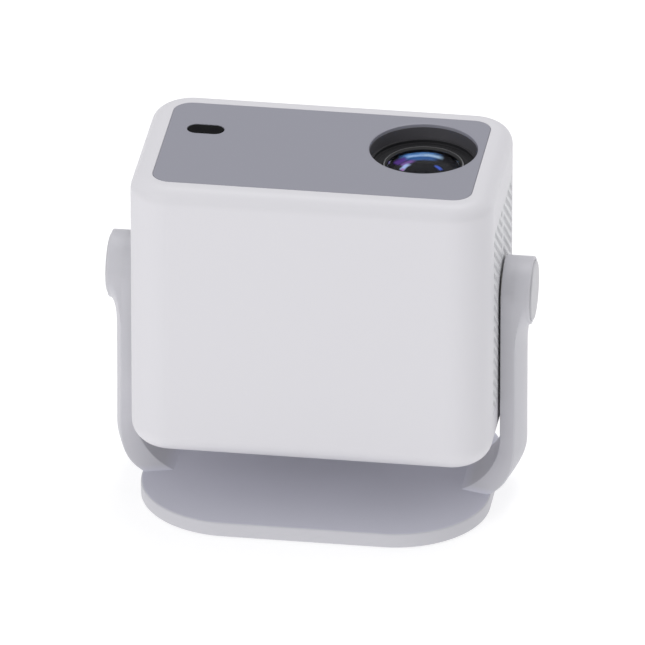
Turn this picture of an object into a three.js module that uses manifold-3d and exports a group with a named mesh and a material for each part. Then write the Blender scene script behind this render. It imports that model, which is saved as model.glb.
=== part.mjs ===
// Home projector on a U-shaped stand: a rounded box body hung between two arms, lens face up at rest.
// Millimetres. +Z up, -Y is the side the stand faces, origin at the middle of the base's underside.
import * as THREE from 'three';
import { mergeVertices } from 'three/addons/utils/BufferGeometryUtils.js';
import Module from 'manifold-3d';

const wasm = await Module();
wasm.setup();

// ---------------------------------------------------------------- driving dimensions

const gap = 0.3;             // clearance between neighbouring fixed pieces
const slip = 0.4;            // radial clearance between pieces that slide or turn

const base = {
  lip: 0.5,                  // how far the plate's ends stand out beyond the arms' feet
  depth: 146,                // along Y
  corner: 50,                // plan corner radius
  height: 8.9,               // floor to the top of the plate
  footHeight: 0.6,           // rubber pad below the cover
  edge: 1,                   // rounding of the plate's edges
  wall: 2.4,                 // side wall and top skin
  lift: 0.8,                 // floor to the lower edge of the side wall
  coverThickness: 1.7,
  weightThickness: 2.7,
  footInset: 7,              // rubber pad's outer edge, in from the plate's edge
  footBand: 9,               // width of the rubber pad
};

const arm = {
  sideGap: 1.2,              // between the body's side and the arm's inner face
  thickness: 9.8,
  halfWidth: 17.85,          // half of the arm's depth along Y, and the radius of its round top
  flare: 5.3,                // how much wider each side gets at the foot
  flareRise: 57.1,           // top of the flare above the base plate
  innerBend: 34,             // radius of the bend's inner face
  innerRise: 31.1,           // its centre above the base plate
  outerBend: 27.4,           // radius of the bend's outer face
  outerRise: 24.1,           // its centre above the base plate
  edge: 2.2,                 // rounding of the arm's long edges
};

const body = {
  width: 190,
  depth: 115.8,
  height: 155.1,
  clearance: 28.9,           // base plate to the rear face, lens up
  corner: 21.6,              // plan corner radius
  frontEdge: 8.4,            // rounding between the sides and the lens face
  rearEdge: 12.4,            // rounding between the sides and the rear face
  wall: 2.5,
  frontWall: 5,              // thickness of the rim that carries the lens panel
};

const panel = {
  sideMargin: 11.75,         // white rim beside the panel
  endMargin: 12.3,           // white rim along its long edges
  corner: 9.6,
  thickness: 2.2,
  ledge: 2,
};
const lens = {
  rimMargin: 3.55,           // recess to the panel's right edge
  backMargin: 7.3,           // recess to the panel's back edge
  recessRadius: 27.9,
  recessDepth: 10.4,
  hoodWall: 0.9,
  barrelRadius: 21.2,
  barrelWall: 2,
  barrelDepth: 9.4,          // lens face down to the barrel's front ring
  barrelLength: 38.5,
  ringHeight: 1.4,
  domeHeight: 3.1,           // crown of the front glass
  seatDepth: 4.2,            // edge thickness of the front glass
  rearRadius: 14,
};
const sensor = { edgeMargin: 19.65, y: 16.6, width: 19, depth: 10, eyeRadius: 2.6, eyeOffset: 4.5 };
const grille = {
  endMargin: 22.9,           // body's front or back to the grille
  topMargin: 25.55,          // lens face or rear face to the grille
  thickness: 2.2,
  flange: 1.2,               // lip behind the housing's wall
  flangeThickness: 1,
  slot: 3.2,
  pitch: 9,
  rib: 3.4,
};
const rearCover = {
  sideMargin: 20,
  endMargin: 18.9,
  corner: 8,
  thickness: 2.5,
  slot: 3,
  slotLength: 34,
  slotY: 14,
  slotCount: 9,
  pitch: 8,
  screwInset: 7,
};
const hinge = {
  rise: 81.7,                // hinge axis above the body's rear face
  pinRadius: 4,
  bossHeight: 5.2,           // how far the hub stands out of the arm
  bossFillet: 6,
  capRadius: 15.6,
  capThickness: 1.6,
  capProud: 1,               // how far the cap stands out of the hub
  bevel: 0.7,                // chamfer round the hub and its cap
  washerRadius: 12,
  discRadius: 13.8,          // round seat in the middle of the side grille
  plateThickness: 1.5,
  plateWidth: 78,
  plateHeight: 27,
};
const button = { x: 0, rise: 54.2, radius: 7, proud: 0.8, travel: 0.6, skirt: 1.4 };

const engine = {
  topGap: 1,                 // tunnel's roof to the lens barrel
  halfDepth: 25,             // along Y
  halfHeight: 34,            // along Z
  wallGap: 46.5,             // left wall to the open end at the lamp
  reach: 34.2,               // lens axis to the tunnel's closed end
  wall: 1.8,
  condenserGap: 3,
  rearFresnel: 61.8,         // places along the light path, back from the lens axis
  heatGlass: 55.8,
  lcd: 50.8,
  frontFresnel: 43.8,
  opticThickness: 2,
  heatGlassThickness: 1.1,
  lampSide: 44,
  lampChip: 11,
};
const focus = {
  gearTeeth: 46,
  pinionTeeth: 8,
  module: 1.25,
  gearHeight: 6,
  gearLift: 1.2,             // gap above the fixed lens tube
  tubeHeight: 20,
  tubeWall: 2,
  motorRadius: 8,
  motorHeight: 18,
};
const fan = { size: 60, depth: 15, bladeCount: 7, hub: 12, clearance: 1.2, wallGap: 5.5 };
const blower = { size: 50, depth: 10, bladeCount: 9, hub: 10, clearance: 1.2, x: -6, rise: 28.7 };
const mainBoard = { x: -4, width: 140, height: 100, rise: 10.2, frontGap: 12.9, thickness: 1.6 };
const spreader = { x: -12, pitch: 5.75, finCount: 7, width: 36, height: 38, rise: 40.2, finReach: 9 };
const powerBoard = { halfWidth: 58, front: -16, backGap: 13.9, rise: 7.2, thickness: 1.6 };
const speaker = { width: 25.5, halfDepth: 34, height: 27.7, lift: 6, wallGap: 5 };

// ---------------------------------------------------------------- derived places

const underside = base.height + body.clearance;
const lensFace = underside + body.height;
const bodyMiddle = underside + body.height / 2;
const halfBodyWidth = body.width / 2;
const halfBodyDepth = body.depth / 2;
const armInner = halfBodyWidth + arm.sideGap;
const armOuter = armInner + arm.thickness;
const flareTop = base.height + arm.flareRise;
const footReach = Math.sqrt(arm.outerBend ** 2 - arm.outerRise ** 2);
const halfBaseWidth = armOuter - arm.outerBend + footReach + base.lip;
const hubFace = armOuter + hinge.bossHeight;
const sideInner = halfBodyWidth - body.wall;
const hingeZ = underside + hinge.rise;
const buttonZ = underside + button.rise;
const panelWidth = body.width - 2 * panel.sideMargin;
const panelDepth = body.depth - 2 * panel.endMargin;
const lensX = panelWidth / 2 - lens.rimMargin - lens.recessRadius;
const lensY = panelDepth / 2 - lens.backMargin - lens.recessRadius;
const sensorX = sensor.edgeMargin - panelWidth / 2;
const grilleWidth = body.depth - 2 * grille.endMargin;
const grilleHeight = body.height - 2 * grille.topMargin;
const rearWidth = body.width - 2 * rearCover.sideMargin;
const rearDepth = body.depth - 2 * rearCover.endMargin;
const ledgeHeight = lensFace - lens.recessDepth;
const barrelTop = lensFace - lens.barrelDepth;
const barrelBottom = barrelTop - lens.barrelLength;
const engineTop = barrelBottom - engine.topGap;
const engineZ = engineTop - engine.halfHeight;
const engineStart = engine.wallGap - sideInner;
const engineEnd = lensX + engine.reach;
const fanX = fan.wallGap + fan.depth / 2 - sideInner;
const blowerZ = underside + blower.rise;
const boardY = mainBoard.frontGap - halfBodyDepth;
const tubeTop = engineTop + focus.tubeHeight;
const tubeInner = lens.barrelRadius + slip;
const gearBottom = tubeTop + focus.gearLift;
const gearPitchRadius = focus.module * focus.gearTeeth / 2;
const pinionPitchRadius = focus.module * focus.pinionTeeth / 2;
const pinionX = lensX - gearPitchRadius - pinionPitchRadius;

// ---------------------------------------------------------------- solids

/** A manifold from a closed three.js geometry. */
function solid(geometry) {
  const bare = geometry.index ? geometry.toNonIndexed() : geometry.clone();
  bare.deleteAttribute('normal');
  bare.deleteAttribute('uv');
  const merged = mergeVertices(bare, 1e-4);
  return new wasm.Manifold(new wasm.Mesh({
    numProp: 3,
    vertProperties: new Float32Array(merged.attributes.position.array),
    triVerts: new Uint32Array(merged.index.array),
  }));
}

/** A three.js geometry from a manifold. */
function geometryOf(shape) {
  const mesh = shape.getMesh();
  const geometry = new THREE.BufferGeometry();
  geometry.setAttribute('position', new THREE.BufferAttribute(new Float32Array(mesh.vertProperties), 3));
  geometry.setIndex(new THREE.BufferAttribute(new Uint32Array(mesh.triVerts), 1));
  geometry.computeVertexNormals();
  return geometry;
}

function union(first, ...others) {
  return others.reduce((whole, other) => whole.add(other), first);
}

function cut(shape, ...tools) {
  return tools.reduce((whole, tool) => whole.subtract(tool), shape);
}

/** The solid itself on the right (+X) side, or its mirror image on the left. */
function onSide(side, shape) {
  return side > 0 ? shape : shape.mirror([1, 0, 0]);
}

/** Box between two corners. */
function box(low, high) {
  const size = high.map((value, i) => value - low[i]);
  const geometry = new THREE.BoxGeometry(...size);
  geometry.translate(...low.map((value, i) => value + size[i] / 2));
  return solid(geometry);
}

/** Box given by its middle and full size. */
function block(middle, size) {
  return box(middle.map((value, i) => value - size[i] / 2), middle.map((value, i) => value + size[i] / 2));
}

/** Points [radius, along] turned about an axis through the given point. */
function turned(profile, axis, point, segments = 36) {
  const points = profile.map(([radius, along]) => new THREE.Vector2(radius, along));
  const geometry = new THREE.LatheGeometry(points, segments);
  if (axis === 'x') geometry.rotateZ(-Math.PI / 2);
  if (axis === 'z') geometry.rotateX(Math.PI / 2);
  geometry.translate(...point);
  return solid(geometry);
}

/** Cylinder about an axis, from one place along it to another. */
function rod(radius, axis, point, from, to, segments = 20) {
  return turned([[0, from], [radius, from], [radius, to], [0, to]], axis, point, segments);
}

/** Ring about an axis. */
function ring(inner, outer, axis, point, from, to, segments = 36) {
  const profile = [[inner, from], [outer, from], [outer, to], [inner, to], [inner, from]];
  return turned(profile, axis, point, segments);
}

/** Solid skinned through closed loops of equal point counts, flat at both ends. */
function lofted(loops) {
  const count = loops[0].length;
  const positions = loops.flat(2);
  const middle = (loop) => [0, 1, 2].map((i) => loop.reduce((sum, point) => sum + point[i], 0) / count);
  positions.push(...middle(loops[0]), ...middle(loops.at(-1)));
  const firstMiddle = loops.length * count;
  const index = [];
  for (let j = 0; j < count; j += 1) {
    const next = (j + 1) % count;
    for (let i = 0; i + 1 < loops.length; i += 1) {
      const low = i * count;
      const high = low + count;
      index.push(low + j, low + next, high + next, low + j, high + next, high + j);
    }
    const top = (loops.length - 1) * count;
    index.push(firstMiddle, next, j, firstMiddle + 1, top + j, top + next);
  }
  const geometry = new THREE.BufferGeometry();
  geometry.setAttribute('position', new THREE.Float32BufferAttribute(positions, 3));
  geometry.setIndex(index);
  return solid(geometry);
}

/** Counter-clockwise rounded rectangle as [u, v] points. */
function roundedOutline(halfWidth, halfHeight, radius, steps = 8) {
  const points = [];
  const corners = [[1, 1], [-1, 1], [-1, -1], [1, -1]];
  corners.forEach(([sideU, sideV], corner) => {
    for (let i = 0; i <= steps; i += 1) {
      const angle = (corner + i / steps) * Math.PI / 2;
      points.push([
        sideU * (halfWidth - radius) + radius * Math.cos(angle),
        sideV * (halfHeight - radius) + radius * Math.sin(angle),
      ]);
    }
  });
  return points;
}

/** Upright block with rounded plan corners, and a rounded lower and upper edge. */
function softBlock(halfWidth, halfDepth, corner, bottom, top, lowEdge, highEdge, steps = 7) {
  const levels = [];
  const arc = (radius) => {
    const parts = radius === 0 ? 0 : Math.ceil(1 + radius / 5);
    const angles = [];
    for (let i = 0; i <= parts; i += 1) angles.push(parts === 0 ? 0 : i / parts * Math.PI / 2);
    return angles;
  };
  arc(lowEdge).forEach((angle) => {
    levels.push([lowEdge * (1 - Math.sin(angle)), bottom + lowEdge * (1 - Math.cos(angle))]);
  });
  arc(highEdge).forEach((angle) => {
    levels.push([highEdge * (1 - Math.cos(angle)), top - highEdge * (1 - Math.sin(angle))]);
  });
  const loops = levels.map(([inset, z]) => {
    const radius = Math.max(corner - inset, 0.2);
    return roundedOutline(halfWidth - inset, halfDepth - inset, radius, steps).map(([x, y]) => [x, y, z]);
  });
  return lofted(loops);
}

/** Plate with rounded corners lying in the XY plane. */
function plate(middle, width, depth, corner, bottom, top, steps = 5) {
  return softBlock(width / 2, depth / 2, corner, bottom, top, 0, 0, steps).translate([...middle, 0]);
}

/** Plate with square edges standing across the light path. */
function lightPlate(x, thickness, reach = gap) {
  const halfDepth = engine.halfDepth - engine.wall - reach;
  const halfHeight = engine.halfHeight - engine.wall - reach;
  return block([x + thickness / 2, lensY, engineZ], [thickness, 2 * halfDepth, 2 * halfHeight]);
}

/** Spur gear outline extruded along Z, with one tooth centred on the given angle. */
function gear(teeth, height, bore, firstTooth) {
  const pitchRadius = focus.module * teeth / 2;
  const tip = pitchRadius + 0.8 * focus.module;
  const root = pitchRadius - 1.1 * focus.module;
  const step = 2 * Math.PI / teeth;
  const shape = new THREE.Shape();
  for (let i = 0; i < teeth; i += 1) {
    const middle = firstTooth + i * step;
    const corners = [[root, -0.29], [tip, -0.11], [tip, 0.11], [root, 0.29]];
    corners.forEach(([radius, share], k) => {
      const angle = middle + share * step;
      const point = [radius * Math.cos(angle), radius * Math.sin(angle)];
      if (i === 0 && k === 0) shape.moveTo(...point);
      else shape.lineTo(...point);
    });
  }
  shape.closePath();
  const toothed = solid(new THREE.ExtrudeGeometry(shape, { depth: height, bevelEnabled: false }));
  return toothed.subtract(rod(bore, 'z', [0, 0, 0], -1, height + 1, bore > 5 ? 36 : 12));
}

// ---------------------------------------------------------------- stand

/** Half of the arm's depth at a height. */
function armHalfWidth(z) {
  if (z > hingeZ) return Math.sqrt(Math.max(arm.halfWidth ** 2 - (z - hingeZ) ** 2, 0));
  const share = THREE.MathUtils.smoothstep(flareTop - z, 0, flareTop - 2 * arm.edge - base.height);
  return arm.halfWidth + arm.flare * share;
}

/** The right arm, from inside the base's skin round the bend and up to the round top. */
function armSolid() {
  const footHeight = base.height - base.wall / 2;
  const stations = [];
  const bendSteps = 8;
  for (let i = 0; i <= bendSteps; i += 1) {
    const share = 1 - i / bendSteps;
    const onBend = (face, radius, rise) => {
      const centre = base.height + rise;
      const angle = share * Math.asin((centre - footHeight) / radius);
      return [face - radius * (1 - Math.cos(angle)), centre - radius * Math.sin(angle)];
    };
    stations.push([
      onBend(armInner, arm.innerBend, arm.innerRise),
      onBend(armOuter, arm.outerBend, arm.outerRise),
    ]);
  }
  const bendTop = base.height + arm.innerRise;
  const straight = [(bendTop + flareTop) / 2, flareTop, hingeZ];
  const topAngles = [20, 38, 54, 68, 78, 85].map((degrees) => THREE.MathUtils.degToRad(degrees));
  const heights = [...straight, ...topAngles.map((angle) => hingeZ + arm.halfWidth * Math.sin(angle))];
  heights.forEach((z) => stations.push([[armInner, z], [armOuter, z]]));
  const loops = stations.map(([inner, outer]) => {
    const middle = [(inner[0] + outer[0]) / 2, (inner[1] + outer[1]) / 2];
    const across = [(outer[0] - inner[0]) / 2, (outer[1] - inner[1]) / 2];
    const half = Math.hypot(...across);
    const halfWidth = armHalfWidth(middle[1]);
    const radius = Math.min(arm.edge, 0.6 * halfWidth);
    return roundedOutline(half, halfWidth, radius, 3).map(([u, v]) => [
      middle[0] + across[0] * u / half,
      v,
      middle[1] + across[1] * u / half,
    ]);
  });
  return lofted(loops);
}

/** Round hub standing out of the right arm on a hollow fillet, no wider than the arm. */
function hubSolid() {
  const start = armInner + arm.thickness / 2;
  const rootRadius = arm.halfWidth + hinge.bossFillet;
  const profile = [[0, start], [rootRadius, start]];
  const reach = Math.min(hinge.bossFillet, hinge.bossHeight - 1);
  const steps = 3;
  for (let i = 0; i <= steps; i += 1) {
    const angle = i / steps * Math.PI / 2;
    profile.push([rootRadius - hinge.bossFillet * Math.sin(angle), armOuter + reach * (1 - Math.cos(angle))]);
  }
  profile.push([arm.halfWidth, hubFace - hinge.bevel], [arm.halfWidth - hinge.bevel, hubFace], [0, hubFace]);
  const boss = turned(profile, 'x', [0, 0, hingeZ]);
  const outline = rod(arm.halfWidth, 'x', [0, 0, hingeZ], armInner, hubFace + 1, 36).add(box(
    [armInner, -arm.halfWidth, hingeZ - 2 * rootRadius],
    [hubFace + 1, arm.halfWidth, hingeZ],
  ));
  return boss.intersect(outline);
}

function standFrame() {
  const halfWidth = halfBaseWidth;
  const halfDepth = base.depth / 2;
  const outer = softBlock(halfWidth, halfDepth, base.corner, base.lift, base.height, base.edge, base.edge, 8);
  const hollow = softBlock(
    halfWidth - base.wall, halfDepth - base.wall, base.corner - base.wall,
    -1, base.height - base.wall, 0, 0, 6,
  );
  const pinHole = rod(hinge.pinRadius + slip, 'x', [0, 0, hingeZ], armInner - 1, hubFace + 1);
  const capSeat = rod(
    hinge.capRadius + gap, 'x', [0, 0, hingeZ],
    hubFace - hinge.capThickness - gap, hubFace + 1, 36,
  );
  const upright = cut(armSolid().add(hubSolid()), pinHole, capSeat);
  return union(outer.subtract(hollow), upright, onSide(-1, upright));
}

const coverBottom = base.footHeight + gap;
const coverTop = coverBottom + base.coverThickness;
const weightBottom = coverTop + gap;
const weightTop = Math.min(weightBottom + base.weightThickness, base.height - base.wall - gap);
const screw = { head: 2.8, shank: 1.4, headHeight: 1.1, inset: 31 };
const screwPlaces = [[-1, -1], [1, -1], [-1, 1], [1, 1]].map(([x, y]) => [
  x * (halfBaseWidth - screw.inset),
  y * (base.depth / 2 - screw.inset),
]);

/** Rounded plate inside the base's side wall. */
function basePlate(inset, bottom, top) {
  const corner = base.corner - inset;
  return plate([0, 0], 2 * (halfBaseWidth - inset), base.depth - 2 * inset, corner, bottom, top, 6);
}

function baseCover() {
  const holes = screwPlaces.map(([x, y]) => rod(screw.head + gap, 'z', [x, y, 0], 0, coverTop + 1, 12));
  const inset = base.wall + gap;
  return cut(basePlate(inset, coverBottom, coverTop), ...holes);
}

function baseWeight() {
  const holes = screwPlaces.map(([x, y]) => rod(screw.shank + gap, 'z', [x, y, 0], 0, weightTop + 1, 12));
  const inset = base.wall + 4;
  return cut(basePlate(inset, weightBottom, weightTop), ...holes);
}

function baseScrew([x, y]) {
  const headBottom = coverBottom + gap;
  const profile = [
    [0, headBottom], [screw.head, headBottom], [screw.head, headBottom + screw.headHeight],
    [screw.shank, headBottom + screw.headHeight], [screw.shank, weightTop], [0, weightTop],
  ];
  return turned(profile, 'z', [x, y, 0], 12);
}

function footPad() {
  const outer = basePlate(base.footInset, 0, base.footHeight);
  return outer.subtract(basePlate(base.footInset + base.footBand, -1, base.footHeight + 1));
}

function hingePin(side) {
  const start = sideInner - grille.flangeThickness - 2 * gap - hinge.plateThickness - 1;
  const end = hubFace - hinge.capThickness - 2 * gap;
  return onSide(side, rod(hinge.pinRadius, 'x', [0, 0, hingeZ], start, end));
}

function hubCap(side) {
  const back = hubFace - hinge.capThickness;
  const face = hubFace + hinge.capProud;
  return onSide(side, turned([
    [0, back], [hinge.capRadius, back], [hinge.capRadius, face - hinge.bevel],
    [hinge.capRadius - hinge.bevel, face], [0, face],
  ], 'x', [0, 0, hingeZ]));
}

function frictionWasher(side) {
  return onSide(side, ring(
    hinge.pinRadius + slip, hinge.washerRadius, 'x', [0, 0, hingeZ],
    halfBodyWidth + gap, armInner - gap, 24,
  ));
}

// ---------------------------------------------------------------- body shell

function housing() {
  const outer = softBlock(
    halfBodyWidth, halfBodyDepth, body.corner,
    underside, lensFace, body.rearEdge, body.frontEdge,
  );
  const hollow = softBlock(
    sideInner, halfBodyDepth - body.wall, body.corner - body.wall,
    underside + body.wall, lensFace - body.frontWall,
    body.rearEdge - body.wall, Math.max(body.frontEdge - body.wall, 1), 4,
  );
  const panelSeat = plate(
    [0, 0], panelWidth + 2 * gap, panelDepth + 2 * gap, panel.corner + gap,
    lensFace - panel.thickness - gap, lensFace + 1, 8,
  );
  const mouth = plate(
    [0, 0], panelWidth - 2 * panel.ledge, panelDepth - 2 * panel.ledge,
    panel.corner - panel.ledge, lensFace - body.frontWall - 1, lensFace + 1,
  );
  const rearMouth = plate(
    [0, 0], rearWidth + 2 * gap, rearDepth + 2 * gap, rearCover.corner + gap,
    underside - 1, underside + body.wall + 1,
  );
  const windows = [-1, 1].map((side) => block(
    [side * halfBodyWidth, 0, bodyMiddle],
    [4 * body.wall, grilleWidth + 2 * gap, grilleHeight + 2 * gap],
  ));
  const buttonHole = rod(
    button.radius + slip, 'y', [button.x, 0, buttonZ],
    halfBodyDepth - 2 * body.wall, halfBodyDepth + 1,
  );
  return cut(outer, hollow, panelSeat, mouth, rearMouth, ...windows, buttonHole);
}

function lensPanel() {
  const whole = plate(
    [0, 0], panelWidth, panelDepth, panel.corner,
    lensFace - panel.thickness, lensFace, 8,
  );
  const lensHole = rod(
    lens.recessRadius + lens.hoodWall + gap, 'z', [lensX, lensY, 0],
    lensFace - panel.thickness - 1, lensFace + 1, 48,
  );
  return cut(whole, lensHole, sensorPlate(gap, lensFace - panel.thickness - 1, lensFace + 1));
}

/** Pill-shaped plate at the sensors. */
function sensorPlate(grow, bottom, top) {
  const depth = sensor.depth + 2 * grow;
  return plate([sensorX, sensor.y], sensor.width + 2 * grow, depth, depth / 2 - 0.01, bottom, top, 8);
}

function lensHood() {
  const wallOuter = lens.recessRadius + lens.hoodWall;
  const lip = lensFace - 0.15;
  const under = lensFace - body.frontWall - gap;
  const ledgeUnder = ledgeHeight - 2;
  const bore = lens.barrelRadius + slip;
  return turned([
    [bore, ledgeUnder], [wallOuter + 2, ledgeUnder], [wallOuter + 2, under], [wallOuter, under],
    [wallOuter, lip], [lens.recessRadius, lip], [lens.recessRadius, ledgeHeight], [bore, ledgeHeight],
    [bore, ledgeUnder],
  ], 'z', [lensX, lensY, 0], 40);
}

function sensorBoard() {
  const top = lensFace - panel.thickness - 3;
  const board = block([sensorX, sensor.y, top - 0.8], [26, 16, 1.6]);
  const eyes = [-1, 1].map((side) => rod(
    sensor.eyeRadius, 'z', [sensorX + side * sensor.eyeOffset, sensor.y, 0], top - 0.5, top + 2.6, 14,
  ));
  return union(board, ...eyes);
}

function sideGrille(side) {
  const face = block(
    [halfBodyWidth - grille.thickness / 2 - 0.5, 0, bodyMiddle],
    [grille.thickness + 1, grilleWidth, grilleHeight],
  );
  const flange = block(
    [sideInner - gap - grille.flangeThickness / 2, 0, bodyMiddle],
    [grille.flangeThickness, grilleWidth + 2 * grille.flange, grilleHeight + 2 * grille.flange],
  );
  const slotLow = sideInner - 10;
  const slotHigh = halfBodyWidth + 1;
  const slots = [];
  const count = Math.floor((grilleHeight - 2 * grille.rib) / grille.pitch);
  for (let i = 0; i < count; i += 1) {
    const z = bodyMiddle + (i - (count - 1) / 2) * grille.pitch;
    const reach = hinge.discRadius + grille.rib;
    const blocked = Math.abs(z - hingeZ) < reach + grille.slot / 2;
    const inside = blocked ? reach : grille.rib / 2;
    const outside = grilleWidth / 2 - grille.rib;
    slots.push(
      box([slotLow, inside, z - grille.slot / 2], [slotHigh, outside, z + grille.slot / 2]),
      box([slotLow, -outside, z - grille.slot / 2], [slotHigh, -inside, z + grille.slot / 2]),
    );
  }
  const seat = rod(hinge.discRadius + gap, 'x', [0, 0, hingeZ], slotLow, slotHigh, 32);
  return onSide(side, cut(face.add(flange), ...slots, seat));
}

/** Steel plate inside the body with the round boss that turns on the hinge pin. */
function hingeBracket(side) {
  const plateOuter = sideInner - grille.flangeThickness - 2 * gap;
  const sheet = box(
    [plateOuter - hinge.plateThickness, -hinge.plateWidth / 2, hingeZ - hinge.plateHeight / 2],
    [plateOuter, hinge.plateWidth / 2, hingeZ + hinge.plateHeight / 2],
  );
  const boss = rod(hinge.discRadius, 'x', [0, 0, hingeZ], plateOuter - 0.5, halfBodyWidth, 32);
  const bore = rod(hinge.pinRadius + slip, 'x', [0, 0, hingeZ], plateOuter - 5, halfBodyWidth + 1);
  return onSide(side, union(sheet, boss).subtract(bore));
}

// Ports in the rear cover: middle, opening width along X and depth along Y.
const ports = {
  hdmi: { x: -38, width: 15, depth: 5.6 },
  usb: { x: -12, width: 14.4, depth: 6.8 },
  audio: { x: 9, width: 7, depth: 7 },
  inlet: { x: 44, width: 24, depth: 15 },
};
const portMargin = 13;       // row of sockets to the rear cover's front edge
const portRow = portMargin - rearDepth / 2;
const coverFloor = underside;
const coverRoof = coverFloor + rearCover.thickness;

const rearScrew = { head: 2.6, shank: 1.3 };
const rearScrewPlaces = [[-1, -1], [1, -1], [-1, 1], [1, 1]].map(([x, y]) => [
  x * (rearWidth / 2 - rearCover.screwInset),
  y * (rearDepth / 2 - rearCover.screwInset),
]);

function rearCoverSolid() {
  let cover = plate(
    [0, 0], rearWidth, rearDepth, rearCover.corner, coverFloor, coverRoof,
  );
  for (const port of [ports.hdmi, ports.usb, ports.inlet]) {
    const size = [port.width, port.depth, 4 * rearCover.thickness];
    cover = cover.subtract(block([port.x, portRow, coverFloor], size));
  }
  cover = cover.subtract(rod(ports.audio.width / 2, 'z', [ports.audio.x, portRow, 0], coverFloor - 1, coverRoof + 1));
  for (let i = 0; i < rearCover.slotCount; i += 1) {
    const x = (i - (rearCover.slotCount - 1) / 2) * rearCover.pitch;
    const size = [rearCover.slot, rearCover.slotLength, 4 * rearCover.thickness];
    cover = cover.subtract(block([x, rearCover.slotY, coverFloor], size));
  }
  for (const [x, y] of rearScrewPlaces) {
    cover = cover.subtract(rod(rearScrew.head + gap, 'z', [x, y, 0], coverFloor - 1, coverFloor + 1.2, 14));
    cover = cover.subtract(rod(rearScrew.shank + gap, 'z', [x, y, 0], coverFloor - 1, coverRoof + 1, 12));
  }
  return cover;
}

function rearScrewSolid([x, y]) {
  const profile = [
    [0, coverFloor + 0.1], [rearScrew.head, coverFloor + 0.1], [rearScrew.head, coverFloor + 0.9],
    [rearScrew.shank, coverFloor + 0.9], [rearScrew.shank, coverRoof + 4], [0, coverRoof + 4],
  ];
  return turned(profile, 'z', [x, y, 0], 12);
}

/** Rectangular socket with a tongue, its mouth facing down through the rear cover. */
function blockSocket(port, height, tongueDepth) {
  const wall = 0.5;
  const width = port.width - 2 * gap;
  const depth = port.depth - 2 * gap;
  const bottom = coverFloor + 0.4;
  const shell = box(
    [port.x - width / 2, portRow - depth / 2, bottom],
    [port.x + width / 2, portRow + depth / 2, bottom + height],
  );
  const mouth = box(
    [port.x - width / 2 + wall, portRow - depth / 2 + wall, bottom - 1],
    [port.x + width / 2 - wall, portRow + depth / 2 - wall, bottom + height - 2],
  );
  const tongue = box(
    [port.x - width / 2 + 2, portRow - tongueDepth / 2, bottom + 1],
    [port.x + width / 2 - 2, portRow + tongueDepth / 2, bottom + height - 1],
  );
  return shell.subtract(mouth).add(tongue);
}

function audioJack() {
  const radius = ports.audio.width / 2 - gap;
  const shell = rod(radius, 'z', [ports.audio.x, portRow, 0], coverFloor + 0.4, coverFloor + 12, 24);
  return shell.subtract(rod(1.8, 'z', [ports.audio.x, portRow, 0], coverFloor, coverFloor + 10, 20));
}

/** Mains inlet with two round pins in a deep mouth. */
function powerInlet() {
  const wall = 1.6;
  const width = ports.inlet.width - 2 * gap;
  const depth = ports.inlet.depth - 2 * gap;
  const bottom = coverFloor + 0.4;
  const height = 17;
  const shell = plate([ports.inlet.x, portRow], width, depth, 1, bottom, bottom + height, 3);
  const mouth = plate(
    [ports.inlet.x, portRow], width - 2 * wall - 4, depth - 2 * wall - 3, 3, bottom - 1, bottom + height - 3, 5,
  );
  const pins = [-1, 1].map((side) => rod(
    1.15, 'z', [ports.inlet.x + side * 4.3, portRow, 0], bottom + 2, bottom + height - 1, 16,
  ));
  return union(shell.subtract(mouth), ...pins);
}

function powerButton() {
  const face = halfBodyDepth + button.proud;
  const skirtTop = halfBodyDepth - body.wall - button.travel - gap;
  return turned([
    [0, skirtTop - button.skirt - 2], [2, skirtTop - button.skirt - 2], [2, skirtTop - button.skirt],
    [button.radius + 2, skirtTop - button.skirt], [button.radius + 2, skirtTop],
    [button.radius, skirtTop], [button.radius, face - 0.6], [button.radius - 0.6, face], [0, face - 0.4],
  ], 'y', [button.x, 0, buttonZ], 32);
}

function buttonBoard() {
  const stem = halfBodyDepth - body.wall - button.travel - gap - button.skirt - 2;
  const top = stem - button.travel - gap;
  const board = block([button.x, top - 2.3, buttonZ], [34, 1.6, 22]);
  const tactSwitch = block([button.x, top - 0.95, buttonZ], [6, 1.9, 6]);
  return board.add(tactSwitch);
}

// ---------------------------------------------------------------- light engine

function opticalHousing() {
  const low = [engineStart, lensY - engine.halfDepth, engineZ - engine.halfHeight];
  const high = [engineEnd, lensY + engine.halfDepth, engineTop];
  const w = engine.wall;
  const shell = box(low, high);
  const tunnel = box([low[0] - 1, low[1] + w, low[2] + w], [high[0] - w, high[1] - w, high[2] - w]);
  const tube = rod(tubeInner + focus.tubeWall, 'z', [lensX, lensY, 0], engineTop - w, tubeTop, 48);
  const bore = rod(tubeInner, 'z', [lensX, lensY, 0], engineTop - w - 1, tubeTop + 1, 48);
  return cut(union(shell.subtract(tunnel), tube), bore);
}

function foldMirror() {
  const length = 2 * Math.SQRT2 * (engine.halfHeight - engine.wall - 3);
  const width = 2 * (engine.halfDepth - engine.wall - 1);
  const glass = solid(new THREE.BoxGeometry(length, width, 2));
  return glass.rotate([0, -45, 0]).translate([lensX, lensY, engineZ]);
}

/** Round lens with one flat side, its crown on the side given by the sign of the height. */
function planoLens(radius, edge, crown, steps = 5) {
  const profile = [[0, 0], [radius, 0]];
  for (let i = 0; i <= steps; i += 1) {
    const share = 1 - i / steps;
    profile.push([radius * share, edge + crown * (1 - share ** 2)]);
  }
  return profile;
}

function condenserLens() {
  const radius = Math.min(engine.halfDepth, engine.halfHeight) - engine.wall - 2;
  return turned(planoLens(radius, 2, 7), 'x', [engineStart + engine.condenserGap, lensY, engineZ], 28);
}

function ledModule() {
  const x = engineStart - gap - 2;
  const board = block([x + 1, lensY, engineZ], [2, engine.lampSide, engine.lampSide]);
  const chip = rod(engine.lampChip, 'x', [x, lensY, engineZ], 1.5, 3.2, 32);
  return union(board, chip);
}

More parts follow.
